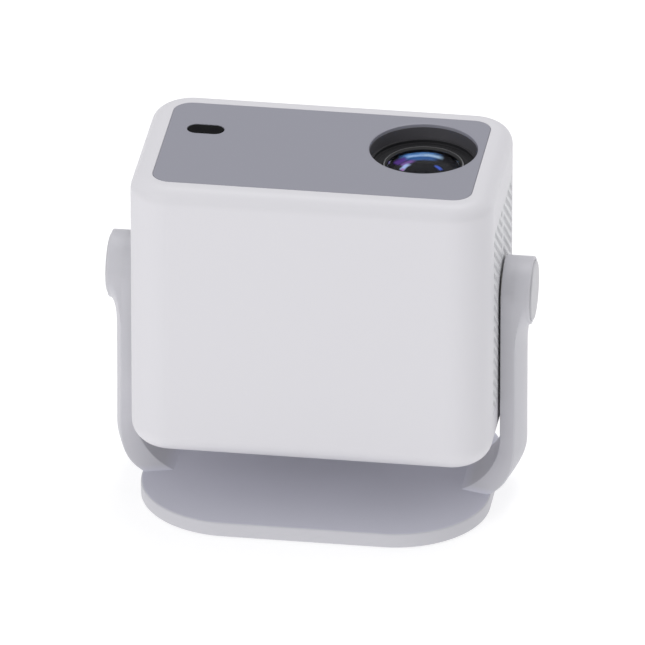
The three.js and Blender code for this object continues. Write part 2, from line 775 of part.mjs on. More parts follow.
function heatSink() {
  const back = engineStart - gap - 2 - gap;
  const front = fanX + fan.depth / 2 + 1;
  const half = fan.size / 2;
  const plateThickness = 4;
  const fins = [];
  const finCount = 12;
  for (let i = 0; i < finCount; i += 1) {
    const y = lensY + (i - (finCount - 1) / 2) * (fan.size - 2) / (finCount - 1);
    fins.push(block([(front + back) / 2, y, engineZ], [back - front, 1.4, fan.size]));
  }
  const slab = box(
    [back - plateThickness, lensY - half, engineZ - half], [back, lensY + half, engineZ + half],
  );
  return union(slab, ...fins);
}

/** Square fan frame with a round duct and three struts to the hub, about a +Z axis at the origin. */
function fanFrame({ size, depth, hub, clearance }) {
  const duct = size / 2 - 1.2;
  const hollow = rod(duct, 'z', [0, 0, 0], -depth / 2 - 1, depth / 2 + 1, 40);
  const rim = softBlock(size / 2, size / 2, 3, -depth / 2, depth / 2, 0, 0, 3).subtract(hollow);
  const strutHeight = 1.6;
  const low = -depth / 2;
  const seat = rod(hub - clearance, 'z', [0, 0, 0], low, low + strutHeight, 28);
  const struts = [0, 120, 240].map((degrees) => box(
    [0, -1.2, low], [duct + 0.6, 1.2, low + strutHeight],
  ).rotate([0, 0, degrees]));
  return union(rim, seat, ...struts);
}

/** Fan rotor: a cup with pitched blades, about the same axis. */
function fanRotor({ size, depth, hub, clearance, bladeCount }) {
  const low = -depth / 2 + 1.6 + clearance;
  const high = depth / 2 - clearance;
  const cup = rod(hub, 'z', [0, 0, 0], low, high, 28);
  const tip = size / 2 - 1.2 - clearance;
  const blades = [];
  const tall = high - low;
  for (let i = 0; i < bladeCount; i += 1) {
    const blade = block([0, 0, 0], [tip - hub + 2, 1.3, 1.15 * tall])
      .rotate([38, 0, 0])
      .translate([(tip + hub) / 2 - 1, 0, (low + high) / 2])
      .rotate([0, 0, 360 * i / bladeCount]);
    blades.push(blade);
  }
  const swept = ring(hub - 1, tip, 'z', [0, 0, 0], low, high, 40);
  return cup.add(union(...blades).intersect(swept));
}

function ontoExhaust(shape) {
  return shape.rotate([0, 90, 0]).translate([fanX, lensY, engineZ]);
}

function ontoIntake(shape) {
  return shape.translate([blower.x, lensY, blowerZ]);
}

// ---------------------------------------------------------------- lens and focus drive

function lensBarrel() {
  const outer = lens.barrelRadius;
  const seat = outer - 0.9;
  const inner = outer - lens.barrelWall - 1.5;
  const ringSeat = barrelTop - lens.ringHeight - gap;
  const glassSeat = ringSeat - lens.seatDepth;
  const rearSeat = barrelBottom + 4;
  return turned([
    [lens.rearRadius + gap, barrelBottom], [outer, barrelBottom], [outer, ringSeat], [seat, ringSeat],
    [seat, glassSeat], [inner, glassSeat - 1], [inner, barrelBottom + 14],
    [lens.rearRadius - 2, rearSeat + 1], [lens.rearRadius - 2, rearSeat],
    [lens.rearRadius + gap, rearSeat], [lens.rearRadius + gap, barrelBottom],
  ], 'z', [lensX, lensY, 0], 32);
}

function frontElement() {
  const ringSeat = barrelTop - lens.ringHeight - gap;
  const bottom = ringSeat - lens.seatDepth + gap;
  const radius = lens.barrelRadius - lens.barrelWall;
  const crown = lens.domeHeight;
  return turned(
    planoLens(radius, barrelTop - 0.5 - bottom, crown - 1.2, 6), 'z', [lensX, lensY, bottom], 36,
  );
}

function rearElement() {
  return turned(planoLens(lens.rearRadius, 1.6, 1.8, 4), 'z', [lensX, lensY, barrelBottom + 0.3], 28);
}

function retainingRing() {
  const bottom = barrelTop - lens.ringHeight;
  const inner = lens.barrelRadius - lens.barrelWall + gap;
  const outer = lens.barrelRadius;
  const bevel = 0.6;
  return turned([
    [inner, bottom], [outer, bottom], [outer, barrelTop - bevel], [outer - bevel, barrelTop],
    [inner + bevel, barrelTop], [inner, barrelTop - bevel], [inner, bottom],
  ], 'z', [lensX, lensY, 0], 40);
}

function focusGear() {
  return gear(focus.gearTeeth, focus.gearHeight, lens.barrelRadius + slip, Math.PI)
    .translate([lensX, lensY, gearBottom]);
}

function focusPinion() {
  const halfTooth = Math.PI / focus.pinionTeeth;
  const wheel = gear(focus.pinionTeeth, focus.gearHeight + 1, 1, halfTooth);
  return wheel.translate([pinionX, lensY, gearBottom - 0.5]);
}

function focusMotor() {
  const top = gearBottom - 1;
  const can = rod(focus.motorRadius, 'z', [pinionX, lensY, 0], top - focus.motorHeight, top, 32);
  const shaft = rod(1 - slip / 2, 'z', [pinionX, lensY, 0], top - 1, gearBottom + focus.gearHeight, 16);
  const ear = block([pinionX, lensY, top - 0.8], [8, 26, 1.6]);
  return union(can, shaft, ear);
}

// ---------------------------------------------------------------- boards and speakers

/** Upright board behind the front wall; each chip is [x, z, width, height] from the board's middle. */
function mainBoardSolid() {
  const middle = [mainBoard.x, boardY, underside + mainBoard.rise + mainBoard.height / 2];
  const board = block(middle, [mainBoard.width, mainBoard.thickness, mainBoard.height]);
  const chips = [[-36, 32, 22, 14], [-48, -12, 12, 12], [30, 30, 16, 12], [48, -2, 10, 22], [-10, -32, 30, 6]];
  const raised = chips.map(([x, z, width, height]) => block(
    [middle[0] + x, boardY + 1.6, middle[2] + z], [width, 2.4, height],
  ));
  return union(board, ...raised);
}

function heatSpreader() {
  const back = boardY + mainBoard.thickness / 2 + gap;
  const low = underside + spreader.rise;
  const high = low + spreader.height;
  const slab = box([spreader.x, back, low], [spreader.x + spreader.width, back + 2, high]);
  const fins = [];
  for (let i = 0; i < spreader.finCount; i += 1) {
    const x = spreader.x + i * spreader.pitch;
    fins.push(box([x, back + 1, low], [x + 1.4, back + spreader.finReach, high]));
  }
  return union(slab, ...fins);
}

/** Level board above the rear cover with its tall parts beside the intake fan. */
function powerBoardSolid() {
  const low = underside + powerBoard.rise;
  const seat = low + 1;
  const back = halfBodyDepth - powerBoard.backGap;
  const half = powerBoard.halfWidth;
  const board = box([-half, powerBoard.front, low], [half, back, low + powerBoard.thickness]);
  const tallest = blowerZ - blower.depth / 2 - 2;
  const parts = [
    box([8 - half, back - 26, seat], [30 - half, back - 6, tallest]),
    box([half - 28, back - 28, seat], [half - 8, back - 8, tallest]),
    rod(8, 'z', [14, back - 18, 0], seat, tallest, 24),
    rod(6, 'z', [-16, back - 14, 0], seat, tallest - 4, 20),
    box([half - 24, powerBoard.front + 4, seat], [half - 6, powerBoard.front + 20, low + 10]),
  ];
  return union(board, ...parts);
}

function speakerSolid(side) {
  const outer = sideInner - speaker.wallGap;
  const inner = outer - speaker.width;
  const low = underside + body.wall + speaker.lift;
  const high = low + speaker.height;
  const middle = [0, 0, (low + high) / 2];
  const cabinet = box([inner, -speaker.halfDepth, low], [outer, speaker.halfDepth, high]);
  const radius = Math.min(speaker.height / 2 - 2, 12);
  const dish = rod(radius, 'x', middle, outer - 4, outer + 1, 28);
  const dome = rod(0.45 * radius, 'x', middle, outer - 5, outer - 1, 20);
  return onSide(side, cabinet.subtract(dish).add(dome));
}

// ---------------------------------------------------------------- materials and assembly

function look(color, roughness, metalness = 0, opacity = 1) {
  return new THREE.MeshStandardMaterial({ color, roughness, metalness, opacity, transparent: opacity < 1 });
}

const looks = {
  stand: look(0xcdcdd2, 0.55),
  shell: look(0xe6e6ea, 0.5),
  panel: look(0x9a9aa4, 0.6),
  darkPlastic: look(0x2e2d31, 0.45),
  window: look(0x141416, 0.08),
  grille: look(0xdededf, 0.55),
  steel: look(0x9b9da0, 0.35, 0.9),
  aluminium: look(0xb4b6ba, 0.4, 0.9),
  brass: look(0xb5a06a, 0.3, 0.9),
  ringMetal: look(0xc8cacf, 0.25, 0.9),
  rubber: look(0x3a3a3c, 0.85),
  glass: look(0xbcc8e8, 0.05, 0, 0.4),
  mirror: look(0xe8ebf0, 0.03, 1),
  board: look(0x1f5a3c, 0.5),
  blackPlastic: look(0x1b1b1d, 0.5),
  nylon: look(0xd9d6c8, 0.5),
  port: look(0x8f9196, 0.35, 0.8),
};

const projector = new THREE.Group();

function place(name, material, shape) {
  const mesh = new THREE.Mesh(geometryOf(shape), material);
  mesh.name = name;
  projector.add(mesh);
}

const sides = [['left', -1], ['right', 1]];
const corners = ['front_left', 'front_right', 'back_left', 'back_right'];

place('stand_frame', looks.stand, standFrame());
place('base_cover', looks.blackPlastic, baseCover());
place('base_weight', looks.steel, baseWeight());
place('foot_pad', looks.rubber, footPad());
corners.forEach((corner, i) => place(`base_screw_${corner}`, looks.steel, baseScrew(screwPlaces[i])));
for (const [name, side] of sides) {
  place(`hub_cap_${name}`, looks.stand, hubCap(side));
  place(`hinge_pin_${name}`, looks.steel, hingePin(side));
  place(`friction_washer_${name}`, looks.blackPlastic, frictionWasher(side));
  place(`hinge_bracket_${name}`, looks.steel, hingeBracket(side));
  place(`side_grille_${name}`, looks.grille, sideGrille(side));
  place(`speaker_${name}`, looks.blackPlastic, speakerSolid(side));
}

place('housing', looks.shell, housing());
place('lens_panel', looks.panel, lensPanel());
place('lens_hood', looks.darkPlastic, lensHood());
place('sensor_window', looks.window, sensorPlate(0, lensFace - panel.thickness, lensFace - 0.1));
place('sensor_board', looks.board, sensorBoard());
place('power_button', looks.shell, powerButton());
place('button_board', looks.board, buttonBoard());

place('rear_cover', looks.shell, rearCoverSolid());
corners.forEach((corner, i) => place(`rear_screw_${corner}`, looks.steel, rearScrewSolid(rearScrewPlaces[i])));
place('hdmi_socket', looks.port, blockSocket(ports.hdmi, 11, 1));
place('usb_socket', looks.port, blockSocket(ports.usb, 13, 2));
place('audio_jack', looks.blackPlastic, audioJack());
place('power_inlet', looks.blackPlastic, powerInlet());

place('optical_housing', looks.blackPlastic, opticalHousing());
place('led_module', looks.aluminium, ledModule());
place('heat_sink', looks.aluminium, heatSink());
place('condenser_lens', looks.glass, condenserLens());
place('rear_fresnel', looks.glass, lightPlate(lensX - engine.rearFresnel, engine.opticThickness));
place('heat_glass', looks.glass, lightPlate(lensX - engine.heatGlass, engine.heatGlassThickness));
place('lcd_panel', looks.window, lightPlate(lensX - engine.lcd, engine.opticThickness));
place('front_fresnel', looks.glass, lightPlate(lensX - engine.frontFresnel, engine.opticThickness));
place('fold_mirror', looks.mirror, foldMirror());

place('exhaust_fan_frame', looks.blackPlastic, ontoExhaust(fanFrame(fan)));
place('exhaust_fan_rotor', looks.blackPlastic, ontoExhaust(fanRotor(fan)));
place('intake_fan_frame', looks.blackPlastic, ontoIntake(fanFrame(blower)));
place('intake_fan_rotor', looks.blackPlastic, ontoIntake(fanRotor(blower)));

place('lens_barrel', looks.darkPlastic, lensBarrel());
place('front_element', looks.glass, frontElement());
place('rear_element', looks.glass, rearElement());
place('retaining_ring', looks.ringMetal, retainingRing());
place('focus_gear', looks.nylon, focusGear());
place('focus_pinion', looks.brass, focusPinion());
place('focus_motor', looks.steel, focusMotor());

place('main_board', looks.board, mainBoardSolid());
place('heat_spreader', looks.aluminium, heatSpreader());
place('power_board', looks.board, powerBoardSolid());

export default projector;
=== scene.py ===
"""Home projector on a U-shaped stand: surfaces, finishes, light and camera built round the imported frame."""
import math

import bmesh
import bpy
import numpy as np
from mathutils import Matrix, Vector
from mathutils.geometry import delaunay_2d_cdt


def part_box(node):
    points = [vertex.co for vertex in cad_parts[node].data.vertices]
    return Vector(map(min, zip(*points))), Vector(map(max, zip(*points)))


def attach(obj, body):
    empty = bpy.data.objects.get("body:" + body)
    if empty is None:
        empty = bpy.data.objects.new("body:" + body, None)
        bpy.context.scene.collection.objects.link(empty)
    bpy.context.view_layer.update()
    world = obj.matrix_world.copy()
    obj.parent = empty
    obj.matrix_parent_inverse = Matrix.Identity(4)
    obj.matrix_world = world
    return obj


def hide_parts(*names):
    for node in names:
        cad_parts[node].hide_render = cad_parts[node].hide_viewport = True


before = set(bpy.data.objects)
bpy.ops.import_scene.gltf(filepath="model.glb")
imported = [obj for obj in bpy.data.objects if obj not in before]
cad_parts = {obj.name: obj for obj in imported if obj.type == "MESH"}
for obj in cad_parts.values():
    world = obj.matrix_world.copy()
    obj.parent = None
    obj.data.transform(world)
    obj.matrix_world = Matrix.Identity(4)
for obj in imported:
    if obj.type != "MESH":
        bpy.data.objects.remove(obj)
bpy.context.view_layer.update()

MM = 0.001
TURN = 2 * math.pi

# ------------------------------------------------------------------ camera

CAMERA = {
    "azimuth": math.radians(8.14),
    "elevation": math.radians(27.54),
    "distance": 9.0,
    "lens": 962.0,
    "aim": Vector((0.65, -3.1, 94.0)) * MM,
}


def place_camera():
    """A long lens looking down at the aim point from the front, a little to the right."""
    turn, rise = CAMERA["azimuth"], CAMERA["elevation"]
    back = Vector((math.sin(turn) * math.cos(rise), -math.cos(turn) * math.cos(rise), math.sin(rise)))
    data = bpy.data.cameras.new("camera")
    data.lens = CAMERA["lens"]
    data.clip_end = 30.0
    camera = bpy.data.objects.new("camera", data)
    camera.location = CAMERA["aim"] + back * CAMERA["distance"]
    camera.rotation_euler = (-back).to_track_quat("-Z", "Y").to_euler()
    bpy.context.scene.collection.objects.link(camera)
    bpy.context.scene.camera = camera


place_camera()

# ------------------------------------------------------------------ sizes read from the frame


class Span:
    """A node's box: lowest and highest corner, middle and half sizes, in metres."""

    def __init__(self, node):
        self.low, self.high = (np.array(corner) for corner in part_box(node))
        self.mid = (self.low + self.high) / 2
        self.half = (self.high - self.low) / 2


body = Span("housing")
panel = Span("lens_panel")
hood = Span("lens_hood")
ring = Span("retaining_ring")
dome = Span("front_element")
window = Span("sensor_window")
cap = Span("hub_cap_right")
stand = Span("stand_frame")
grille = Span("side_grille_right")
rear = Span("rear_cover")
button = Span("power_button")

GAP = 0.3 * MM               # seam between fixed pieces, as in the frame
WALL = 2.5 * MM              # body shell
SUPPORT = 0.25 * MM          # narrow band that keeps the flat beside a rounding flat
BODY_CORNER = 21.6 * MM      # plan corner radius of the body
FRONT_EDGE = 8.4 * MM        # rounding round the lens face
REAR_EDGE = 12.4 * MM        # rounding round the rear face
FRONT_WALL = 5 * MM
PANEL_CORNER = 9.6 * MM
REAR_CORNER = 8 * MM
RECESS_RADIUS = 27.9 * MM
LEDGE_HEIGHT = hood.low[2] + 2 * MM
LENS_AXIS = ring.mid[:2]
HINGE_HEIGHT = cap.mid[2]
GRILLE_HALF_WIDTH = 35 * MM
GRILLE_HALF_HEIGHT = 52 * MM
GRILLE_MIDDLE = grille.mid[2]
HOLE_PITCH = 6.2 * MM         # between holes of one grille column
HOLE_STEP = 4.0 * MM          # between columns
HOLE_START = 4.4 * MM         # first column, from the middle rib
HOLE_RADIUS = 1.7 * MM
DISC_RADIUS = 13.8 * MM      # solid round seat in the middle of each grille
PATCH = 12 * MM              # half side of the flat square round the power button
BUTTON_HOLE = 7.4 * MM

# ------------------------------------------------------------------ surfaces


def arc(start, end, steps):
    """Angles from start to end in degrees, as radians."""
    return np.radians(np.linspace(start, end, steps + 1))


def quarter(size, steps):
    """Rounded edge of that size as (inset from the side, drop from the top), from the side up to the
    top."""
    return [(size * (1 - math.cos(a)), size * (1 - math.sin(a))) for a in arc(0, 90, steps)]


def rounded_loop(half_u, half_v, radius, corner_steps=10, extra_u=(), extra_v=()):
    """Counter-clockwise rounded rectangle. Each straight side carries a support point beside its corners
    and the extra places given: extra_u on the sides along u, extra_v on the sides along v."""
    parts = []
    for quarter, (side_u, side_v) in enumerate([(1, 1), (-1, 1), (-1, -1), (1, -1)]):
        angles = arc(90 * quarter, 90 * quarter + 90, corner_steps)
        centre = np.array([side_u * (half_u - radius), side_v * (half_v - radius)])
        parts.append(centre + radius * np.stack([np.cos(angles), np.sin(angles)], 1))
        along_u = quarter % 2 == 0
        reach = (half_u if along_u else half_v) - radius
        support = max(reach - SUPPORT, 0.5 * reach)
        places = np.array(sorted({*(extra_u if along_u else extra_v), support, -support}))
        if along_u:
            places = places[::-1] if side_v > 0 else places
            parts.append(np.stack([places, np.full(len(places), side_v * half_v)], 1))
        else:
            places = places[::-1] if side_u < 0 else places
            parts.append(np.stack([np.full(len(places), side_u * half_u), places], 1))
    return np.concatenate(parts)


def circle_loop(radius, steps=48, middle=(0, 0)):
    """Counter-clockwise circle."""
    angles = np.arange(steps) / steps * TURN
    return np.asarray(middle) + radius * np.stack([np.cos(angles), np.sin(angles)], 1)


def lift(loop, height):
    """Flat loop raised to a height."""
    return np.concatenate([loop, np.full((len(loop), 1), height)], 1)


def flat(points):
    """Plane of a plate that lies flat: u is X, v is Y, height is Z."""
    return points


def facing_right(points):
    """Plane of a plate on the right side: u is Y, v is Z, height is X."""
    return points[..., [2, 0, 1]]


def facing_left(points):
    """Plane of a plate on the left side: the mirror image of the right one."""
    return facing_right(points) * [-1, 1, 1]


def facing_back(points):
    """Plane of a plate on the back: u is X, v is Z, height is Y."""
    return points[..., [0, 2, 1]]


def facing_down(points):
    """Plane of a plate seen from below: height counts downwards."""
    return points * [1, 1, -1]


class Skin:
    """Points and faces gathered from several surfaces, for one piece."""

    def __init__(self):
        self.points = []
        self.faces = []
        self.count = 0

    def add(self, points, faces):
        """Keeps faces whose corner numbers start at this surface's first point."""
        self.points.append(np.asarray(points, float).reshape(-1, 3))
        self.faces += (np.asarray(faces) + self.count).tolist()
        self.count += len(self.points[-1])

    def grid(self, points, loop=True, keep=None):
        """Quads over rows of points; with loop the last column joins the first; keep masks quads."""
        rows, columns = points.shape[:2]
        index = np.arange(rows * columns).reshape(rows, columns)
        right = np.roll(index, -1, axis=1)
        if not loop:
            index, right = index[:, :-1], right[:, :-1]
        quads = np.stack([index[:-1], right[:-1], right[1:], index[1:]], -1)
        self.add(points, quads[keep] if keep is not None else quads.reshape(-1, 4))

    def lathe(self, profile, axis="z", point=(0, 0, 0), steps=96):
        """Profile of (radius, along) turned about an axis: rows along the profile, columns round the
        axis."""
        profile = np.asarray(profile, float)
        angles = np.arange(steps) / steps * TURN
        across = profile[:, :1] * np.cos(angles)
        up = profile[:, :1] * np.sin(angles)
        along = np.repeat(profile[:, 1:], steps, axis=1)
        order = {"z": (across, up, along), "x": (along, across, up), "y": (up, along, across)}[axis]
        self.grid(np.stack(order, -1) + np.asarray(point))

    def fill(self, loops, height, plane=flat):
        """Flat face at a height inside the first loop and outside the others: a constrained
        triangulation."""
        corners, triangles = triangulated(loops)
        self.add(plane(lift(corners, height)), triangles)

    def plate(self, outer, holes, top, bottom, edge, plane=flat, foot_edge=0.0, steps=4):
        """Plate with rounded edges. outer(inset) and each hole(inset) give an outline moved into the
        material. The wall is a quarter round at the top, a straight drop, and a quarter round or sharp edge
        below."""
        rows = [(edge + SUPPORT, top)]
        rows += [(edge * (1 - math.sin(a)), top - edge * (1 - math.cos(a))) for a in arc(0, 90, steps)]
        if foot_edge:
            rows += [(out, bottom + drop) for out, drop in quarter(foot_edge, steps)]
            rows += [(foot_edge + SUPPORT, bottom)]
        else:
            rows.append((0.0, bottom))
        outlines = [outer, *holes]
        for outline in outlines:
            self.grid(np.stack([plane(lift(outline(inset), height)) for inset, height in rows]))
        self.fill([outline(rows[0][0]) for outline in outlines], top, plane)
        self.fill([outline(rows[-1][0]) for outline in outlines], bottom, plane)


def triangulated(loops):
    """Corners and triangles of the flat area inside the first loop and outside the others. A triangle
    belongs to the area when a line from its middle crosses the outlines an odd number of times."""
    joined = np.concatenate(loops)
    edges = []
    start = 0
    for loop in loops:
        numbers = start + np.arange(len(loop))
        edges += np.stack([numbers, np.roll(numbers, -1)], 1).tolist()
        start += len(loop)
    found = delaunay_2d_cdt([Vector(p) for p in (joined / MM).tolist()], edges, [], 1, 1e-6)
    corners = np.array([p[:] for p in found[0]]) * MM
    triangles = np.array(found[2])
    middles = corners[triangles].mean(1)
    inside = np.zeros(len(triangles), bool)
    for loop in loops:
        near = np.flatnonzero(((middles > loop.min(0)) & (middles < loop.max(0))).all(1))
        a, b = loop, np.roll(loop, -1, axis=0)
        m = middles[near][:, None]
        spans = (a[:, 1] > m[..., 1]) != (b[:, 1] > m[..., 1])
        rise = np.where(b[:, 1] == a[:, 1], 1.0, b[:, 1] - a[:, 1])
        crossing = a[:, 0] + (m[..., 1] - a[:, 1]) / rise * (b[:, 0] - a[:, 0])
        inside[near] ^= ((spans & (m[..., 0] < crossing)).sum(1) % 2).astype(bool)
    return corners, triangles[inside]


def build(name, skin, ride, material, stands_for=(), sharp=34.0):
    """One object from a skin: doubles merged, normals outward, smooth except across sharp edges."""
    mesh = bpy.data.meshes.new(name)
    mesh.from_pydata(np.concatenate(skin.points).tolist(), [], skin.faces)
    work = bmesh.new()
    work.from_mesh(mesh)
    bmesh.ops.remove_doubles(work, verts=work.verts, dist=2e-6)
    bmesh.ops.dissolve_degenerate(work, dist=1e-7, edges=work.edges)
    bmesh.ops.recalc_face_normals(work, faces=work.faces)
    limit = math.radians(sharp)
    for face in work.faces:
        face.smooth = True
    for line in work.edges:
        line.smooth = len(line.link_faces) == 2 and line.calc_face_angle(0.0) < limit
    work.to_mesh(mesh)
    work.free()
    piece = bpy.data.objects.new(name, mesh)
    bpy.context.scene.collection.objects.link(piece)
    mesh.materials.append(material)
    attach(piece, ride)
    if stands_for:
        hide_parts(*stands_for)
    return piece


# ------------------------------------------------------------------ shader maths


class Wire:
    """A node's output; arithmetic on it adds Math nodes."""

    def __init__(self, graph, socket):
        self.graph = graph
        self.socket = socket

    def joined(self, operation, first, second):
        return self.graph.node("ShaderNodeMath", {"operation": operation}, {0: first, 1: second})

    def __add__(self, other):
        return self.joined("ADD", self, other)

    def __radd__(self, other):
        return self.joined("ADD", other, self)

    def __sub__(self, other):
        return self.joined("SUBTRACT", self, other)

    def __rsub__(self, other):
        return self.joined("SUBTRACT", other, self)

    def __mul__(self, other):
        return self.joined("MULTIPLY", self, other)

    def __rmul__(self, other):
        return self.joined("MULTIPLY", other, self)

    def __truediv__(self, other):
        return self.joined("DIVIDE", self, other)

    def __pow__(self, other):
        if other == 2:
            return self * self
        return self.joined("POWER", self, other)

    def absolute(self):
        return self.graph.node("ShaderNodeMath", {"operation": "ABSOLUTE"}, {0: self})


class Finish:
    """A material's node graph."""

    def __init__(self, name):
        self.material = bpy.data.materials.new(name)
        self.material.use_nodes = True
        self.tree = self.material.node_tree
        self.tree.nodes.clear()
        self.place = self.node("ShaderNodeTexCoord", {}, {}, "Object")

    def node(self, kind, settings, inputs, output=0):
        """Adds a node: settings first, then the values or wires of its sockets."""
        made = self.tree.nodes.new(kind)
        for name, value in settings.items():
            if name == "stops":
                ramp = made.color_ramp.elements
                while len(ramp) < len(value):
                    ramp.new(0.5)
                for element, (position, shade) in zip(ramp, value):
                    element.position = position
                    element.color = (*shade, 1.0) if len(shade) == 3 else shade
            else:
                setattr(made, name, value)
        for name, value in inputs.items():
            if isinstance(value, Wire):
                self.tree.links.new(value.socket, made.inputs[name])
            else:
                made.inputs[name].default_value = value
        return Wire(self, made.outputs[output])

    def noise(self, scale, detail=2.0, roughness=0.5, where=None):
        """Noise from 0 to 1, scale in features per metre."""
        inputs = {"Vector": where or self.place, "Scale": scale, "Detail": detail, "Roughness": roughness}
        return self.node("ShaderNodeTexNoise", {}, inputs)

    def spread(self, value, low, high, start=0.0, end=1.0):
        """Value from low to high mapped onto start to end, and held there."""
        inputs = {"Value": value, "From Min": low, "From Max": high, "To Min": start, "To Max": end}
        return self.node("ShaderNodeMapRange", {"clamp": True}, inputs)

    def mixed(self, share, first, second):
        """Colour between two colours."""
        first, second = (c if isinstance(c, Wire) or len(c) == 4 else (*c, 1.0) for c in (first, second))
        inputs = {"Factor": share, 6: first, 7: second}
        return self.node("ShaderNodeMix", {"data_type": "RGBA"}, inputs, 2)

    def axes(self, where=None):
        """X, Y and Z of a vector as three wires."""
        split = self.node("ShaderNodeSeparateXYZ", {}, {"Vector": where or self.place}).socket.node
        return [Wire(self, split.outputs[i]) for i in range(3)]

    def stretched(self, scale, location=(0, 0, 0), rotation=(0, 0, 0)):
        """Object coordinates turned, moved and scaled."""
        inputs = {"Vector": self.place, "Scale": scale, "Location": location, "Rotation": rotation}
        return self.node("ShaderNodeMapping", {}, inputs)

    def bump(self, height, distance, strength=1.0, below=None):
        """Normal pushed by a height from 0 to 1 over a distance in metres."""
        inputs = {"Height": height, "Distance": distance, "Strength": strength}
        if below:
            inputs["Normal"] = below
        return self.node("ShaderNodeBump", {}, inputs)

    def radius(self, x, y):
        """Distance from an upright axis."""
        across, along, _ = self.axes()
        return ((across - x) ** 2 + (along - y) ** 2) ** 0.5

    def surface(self, **sockets):
        """Principled shader with these sockets, names written with underscores; returns the material."""
        named = {name.replace("_", " "): value for name, value in sockets.items()}
        shader = self.node("ShaderNodeBsdfPrincipled", {}, named, "BSDF")
        self.node_output(shader)
        return self.material

    def node_output(self, shader):
        made = self.tree.nodes.new("ShaderNodeOutputMaterial")
        self.tree.links.new(shader.socket, made.inputs["Surface"])


def moulded(name, colour, rough=0.48, grain=0.3, drift=0.025):
    """Moulded plastic: spark-eroded grain, faint flow marks and slow tone drift, handled smooth in
    places."""
    finish = Finish(name)
    cloud = finish.noise(14, 3)
    fine = finish.noise(2600, 2)
    flow = finish.noise(1.0, 2, where=finish.stretched((60, 60, 9)))
    tone = (cloud - 0.5) * drift + (fine - 0.5) * 0.02 + (flow - 0.5) * 0.012 + 0.5
    dark = [c * 0.94 for c in colour]
    light = [min(c * 1.06, 1.0) for c in colour]
    return finish.surface(
        Base_Color=finish.mixed(tone, dark, light),
        Roughness=rough + (cloud - 0.5) * 0.10 + (fine - 0.5) * 0.05,
        Normal=finish.bump(fine, 0.03 * MM, grain),
        Specular_IOR_Level=0.4,
    )


def recess_finish():
    """Dark satin recess: the wall is a lighter anthracite than the ledge below the step."""
    finish = Finish("dark_recess")
    _, _, height = finish.axes()
    cloud = finish.noise(60, 3)
    fine = finish.noise(2600, 2)
    wall = finish.spread(height, LEDGE_HEIGHT + 1.7 * MM, LEDGE_HEIGHT + 2.3 * MM)
    return finish.surface(
        Base_Color=finish.mixed(wall * (0.9 + cloud * 0.2), (0.018, 0.018, 0.020), (0.082, 0.080, 0.089)),
        Roughness=0.46 + (fine - 0.5) * 0.08,
        Normal=finish.bump(fine, 0.02 * MM, 0.2),
        Specular_IOR_Level=0.3,
    )


def stand_moulding():
    """Grey moulding like the others, with painted skylight: the level top of the base plate is coloured
    lighter and bluer than the upright faces, as light from above would make it.
    """
    finish = Finish("fine_grey_moulding_painted_skylight")
    _, _, height = finish.axes()
    cloud = finish.noise(14, 3)
    fine = finish.noise(2600, 2)
    tone = (cloud - 0.5) * 0.03 + (fine - 0.5) * 0.02 + 0.5
    # painted skylight mask: 1 on the top face of the base plate, 0 on the upright faces
    level = finish.spread(height, 8.7 * MM, 8.85 * MM) * finish.spread(height, 9.0 * MM, 12 * MM, 1.0, 0.0)
    upright = finish.mixed(tone, (0.54, 0.535, 0.57), (0.61, 0.605, 0.64))
    # painted skylight: a lighter, bluer copy of the grey for the upward face of the base plate
    plate = finish.mixed(tone, (0.60, 0.60, 0.675), (0.67, 0.67, 0.75))
    return finish.surface(
        Base_Color=finish.mixed(level, upright, plate),
        Roughness=0.46 + (cloud - 0.5) * 0.10 + (fine - 0.5) * 0.05,
        Normal=finish.bump(fine, 0.03 * MM, 0.3),
        Specular_IOR_Level=0.4,
    )


shell_finish = moulded("fine_white_moulding", (0.705, 0.695, 0.725))
stand_finish = stand_moulding()
panel_finish = moulded("satin_grey_face", (0.290, 0.290, 0.338), rough=0.42, grain=0.15)
hood_finish = recess_finish()
cap_finish = moulded("pale_cap_moulding", (0.56, 0.555, 0.58), rough=0.5, grain=0.2)
key_finish = moulded("key_moulding", (0.66, 0.66, 0.68), rough=0.38, grain=0.15)
grille_finish = moulded("grille_moulding", (0.70, 0.70, 0.72), rough=0.5, grain=0.25)
rotor_finish = moulded("rotor_moulding", (0.025, 0.025, 0.028), rough=0.38, grain=0.2)
black_finish = moulded("black_moulding", (0.018, 0.018, 0.020), rough=0.45)
nylon_finish = moulded("natural_nylon", (0.72, 0.70, 0.62), rough=0.5)


def window_glass():
    """Black infrared window: polished face with two sensor eyes as darker discs."""
    finish = Finish("infrared_window")
    haze = finish.noise(90, 2)
    across, along, _ = finish.axes()
    eye = ((across - window.mid[0]).absolute() - 4.5 * MM) ** 2 + (along - window.mid[1]) ** 2
    share = finish.spread(eye, (2.4 * MM) ** 2, (2.7 * MM) ** 2)
    return finish.surface(
        Base_Color=finish.mixed(share, (0.002, 0.0015, 0.003), (0.003, 0.003, 0.0035)),
        Roughness=0.22 + haze * 0.08,
        Specular_IOR_Level=0.03,
    )


def brushed(name, colour, direction, rough=0.32):
    """Bare metal with fine parallel scratches along one axis."""
    finish = Finish(name)
    scale = [900.0] * 3
    scale[direction] = 30.0
    lines = finish.noise(1.0, 3, where=finish.stretched(tuple(scale)))
    cloud = finish.noise(40, 3)
    return finish.surface(
        Base_Color=finish.mixed(lines, [c * 0.85 for c in colour], colour),
        Metallic=1.0,
        Roughness=rough + (lines - 0.5) * 0.16 + (cloud - 0.5) * 0.1,
        Normal=finish.bump(lines, 0.02 * MM, 0.4),
    )


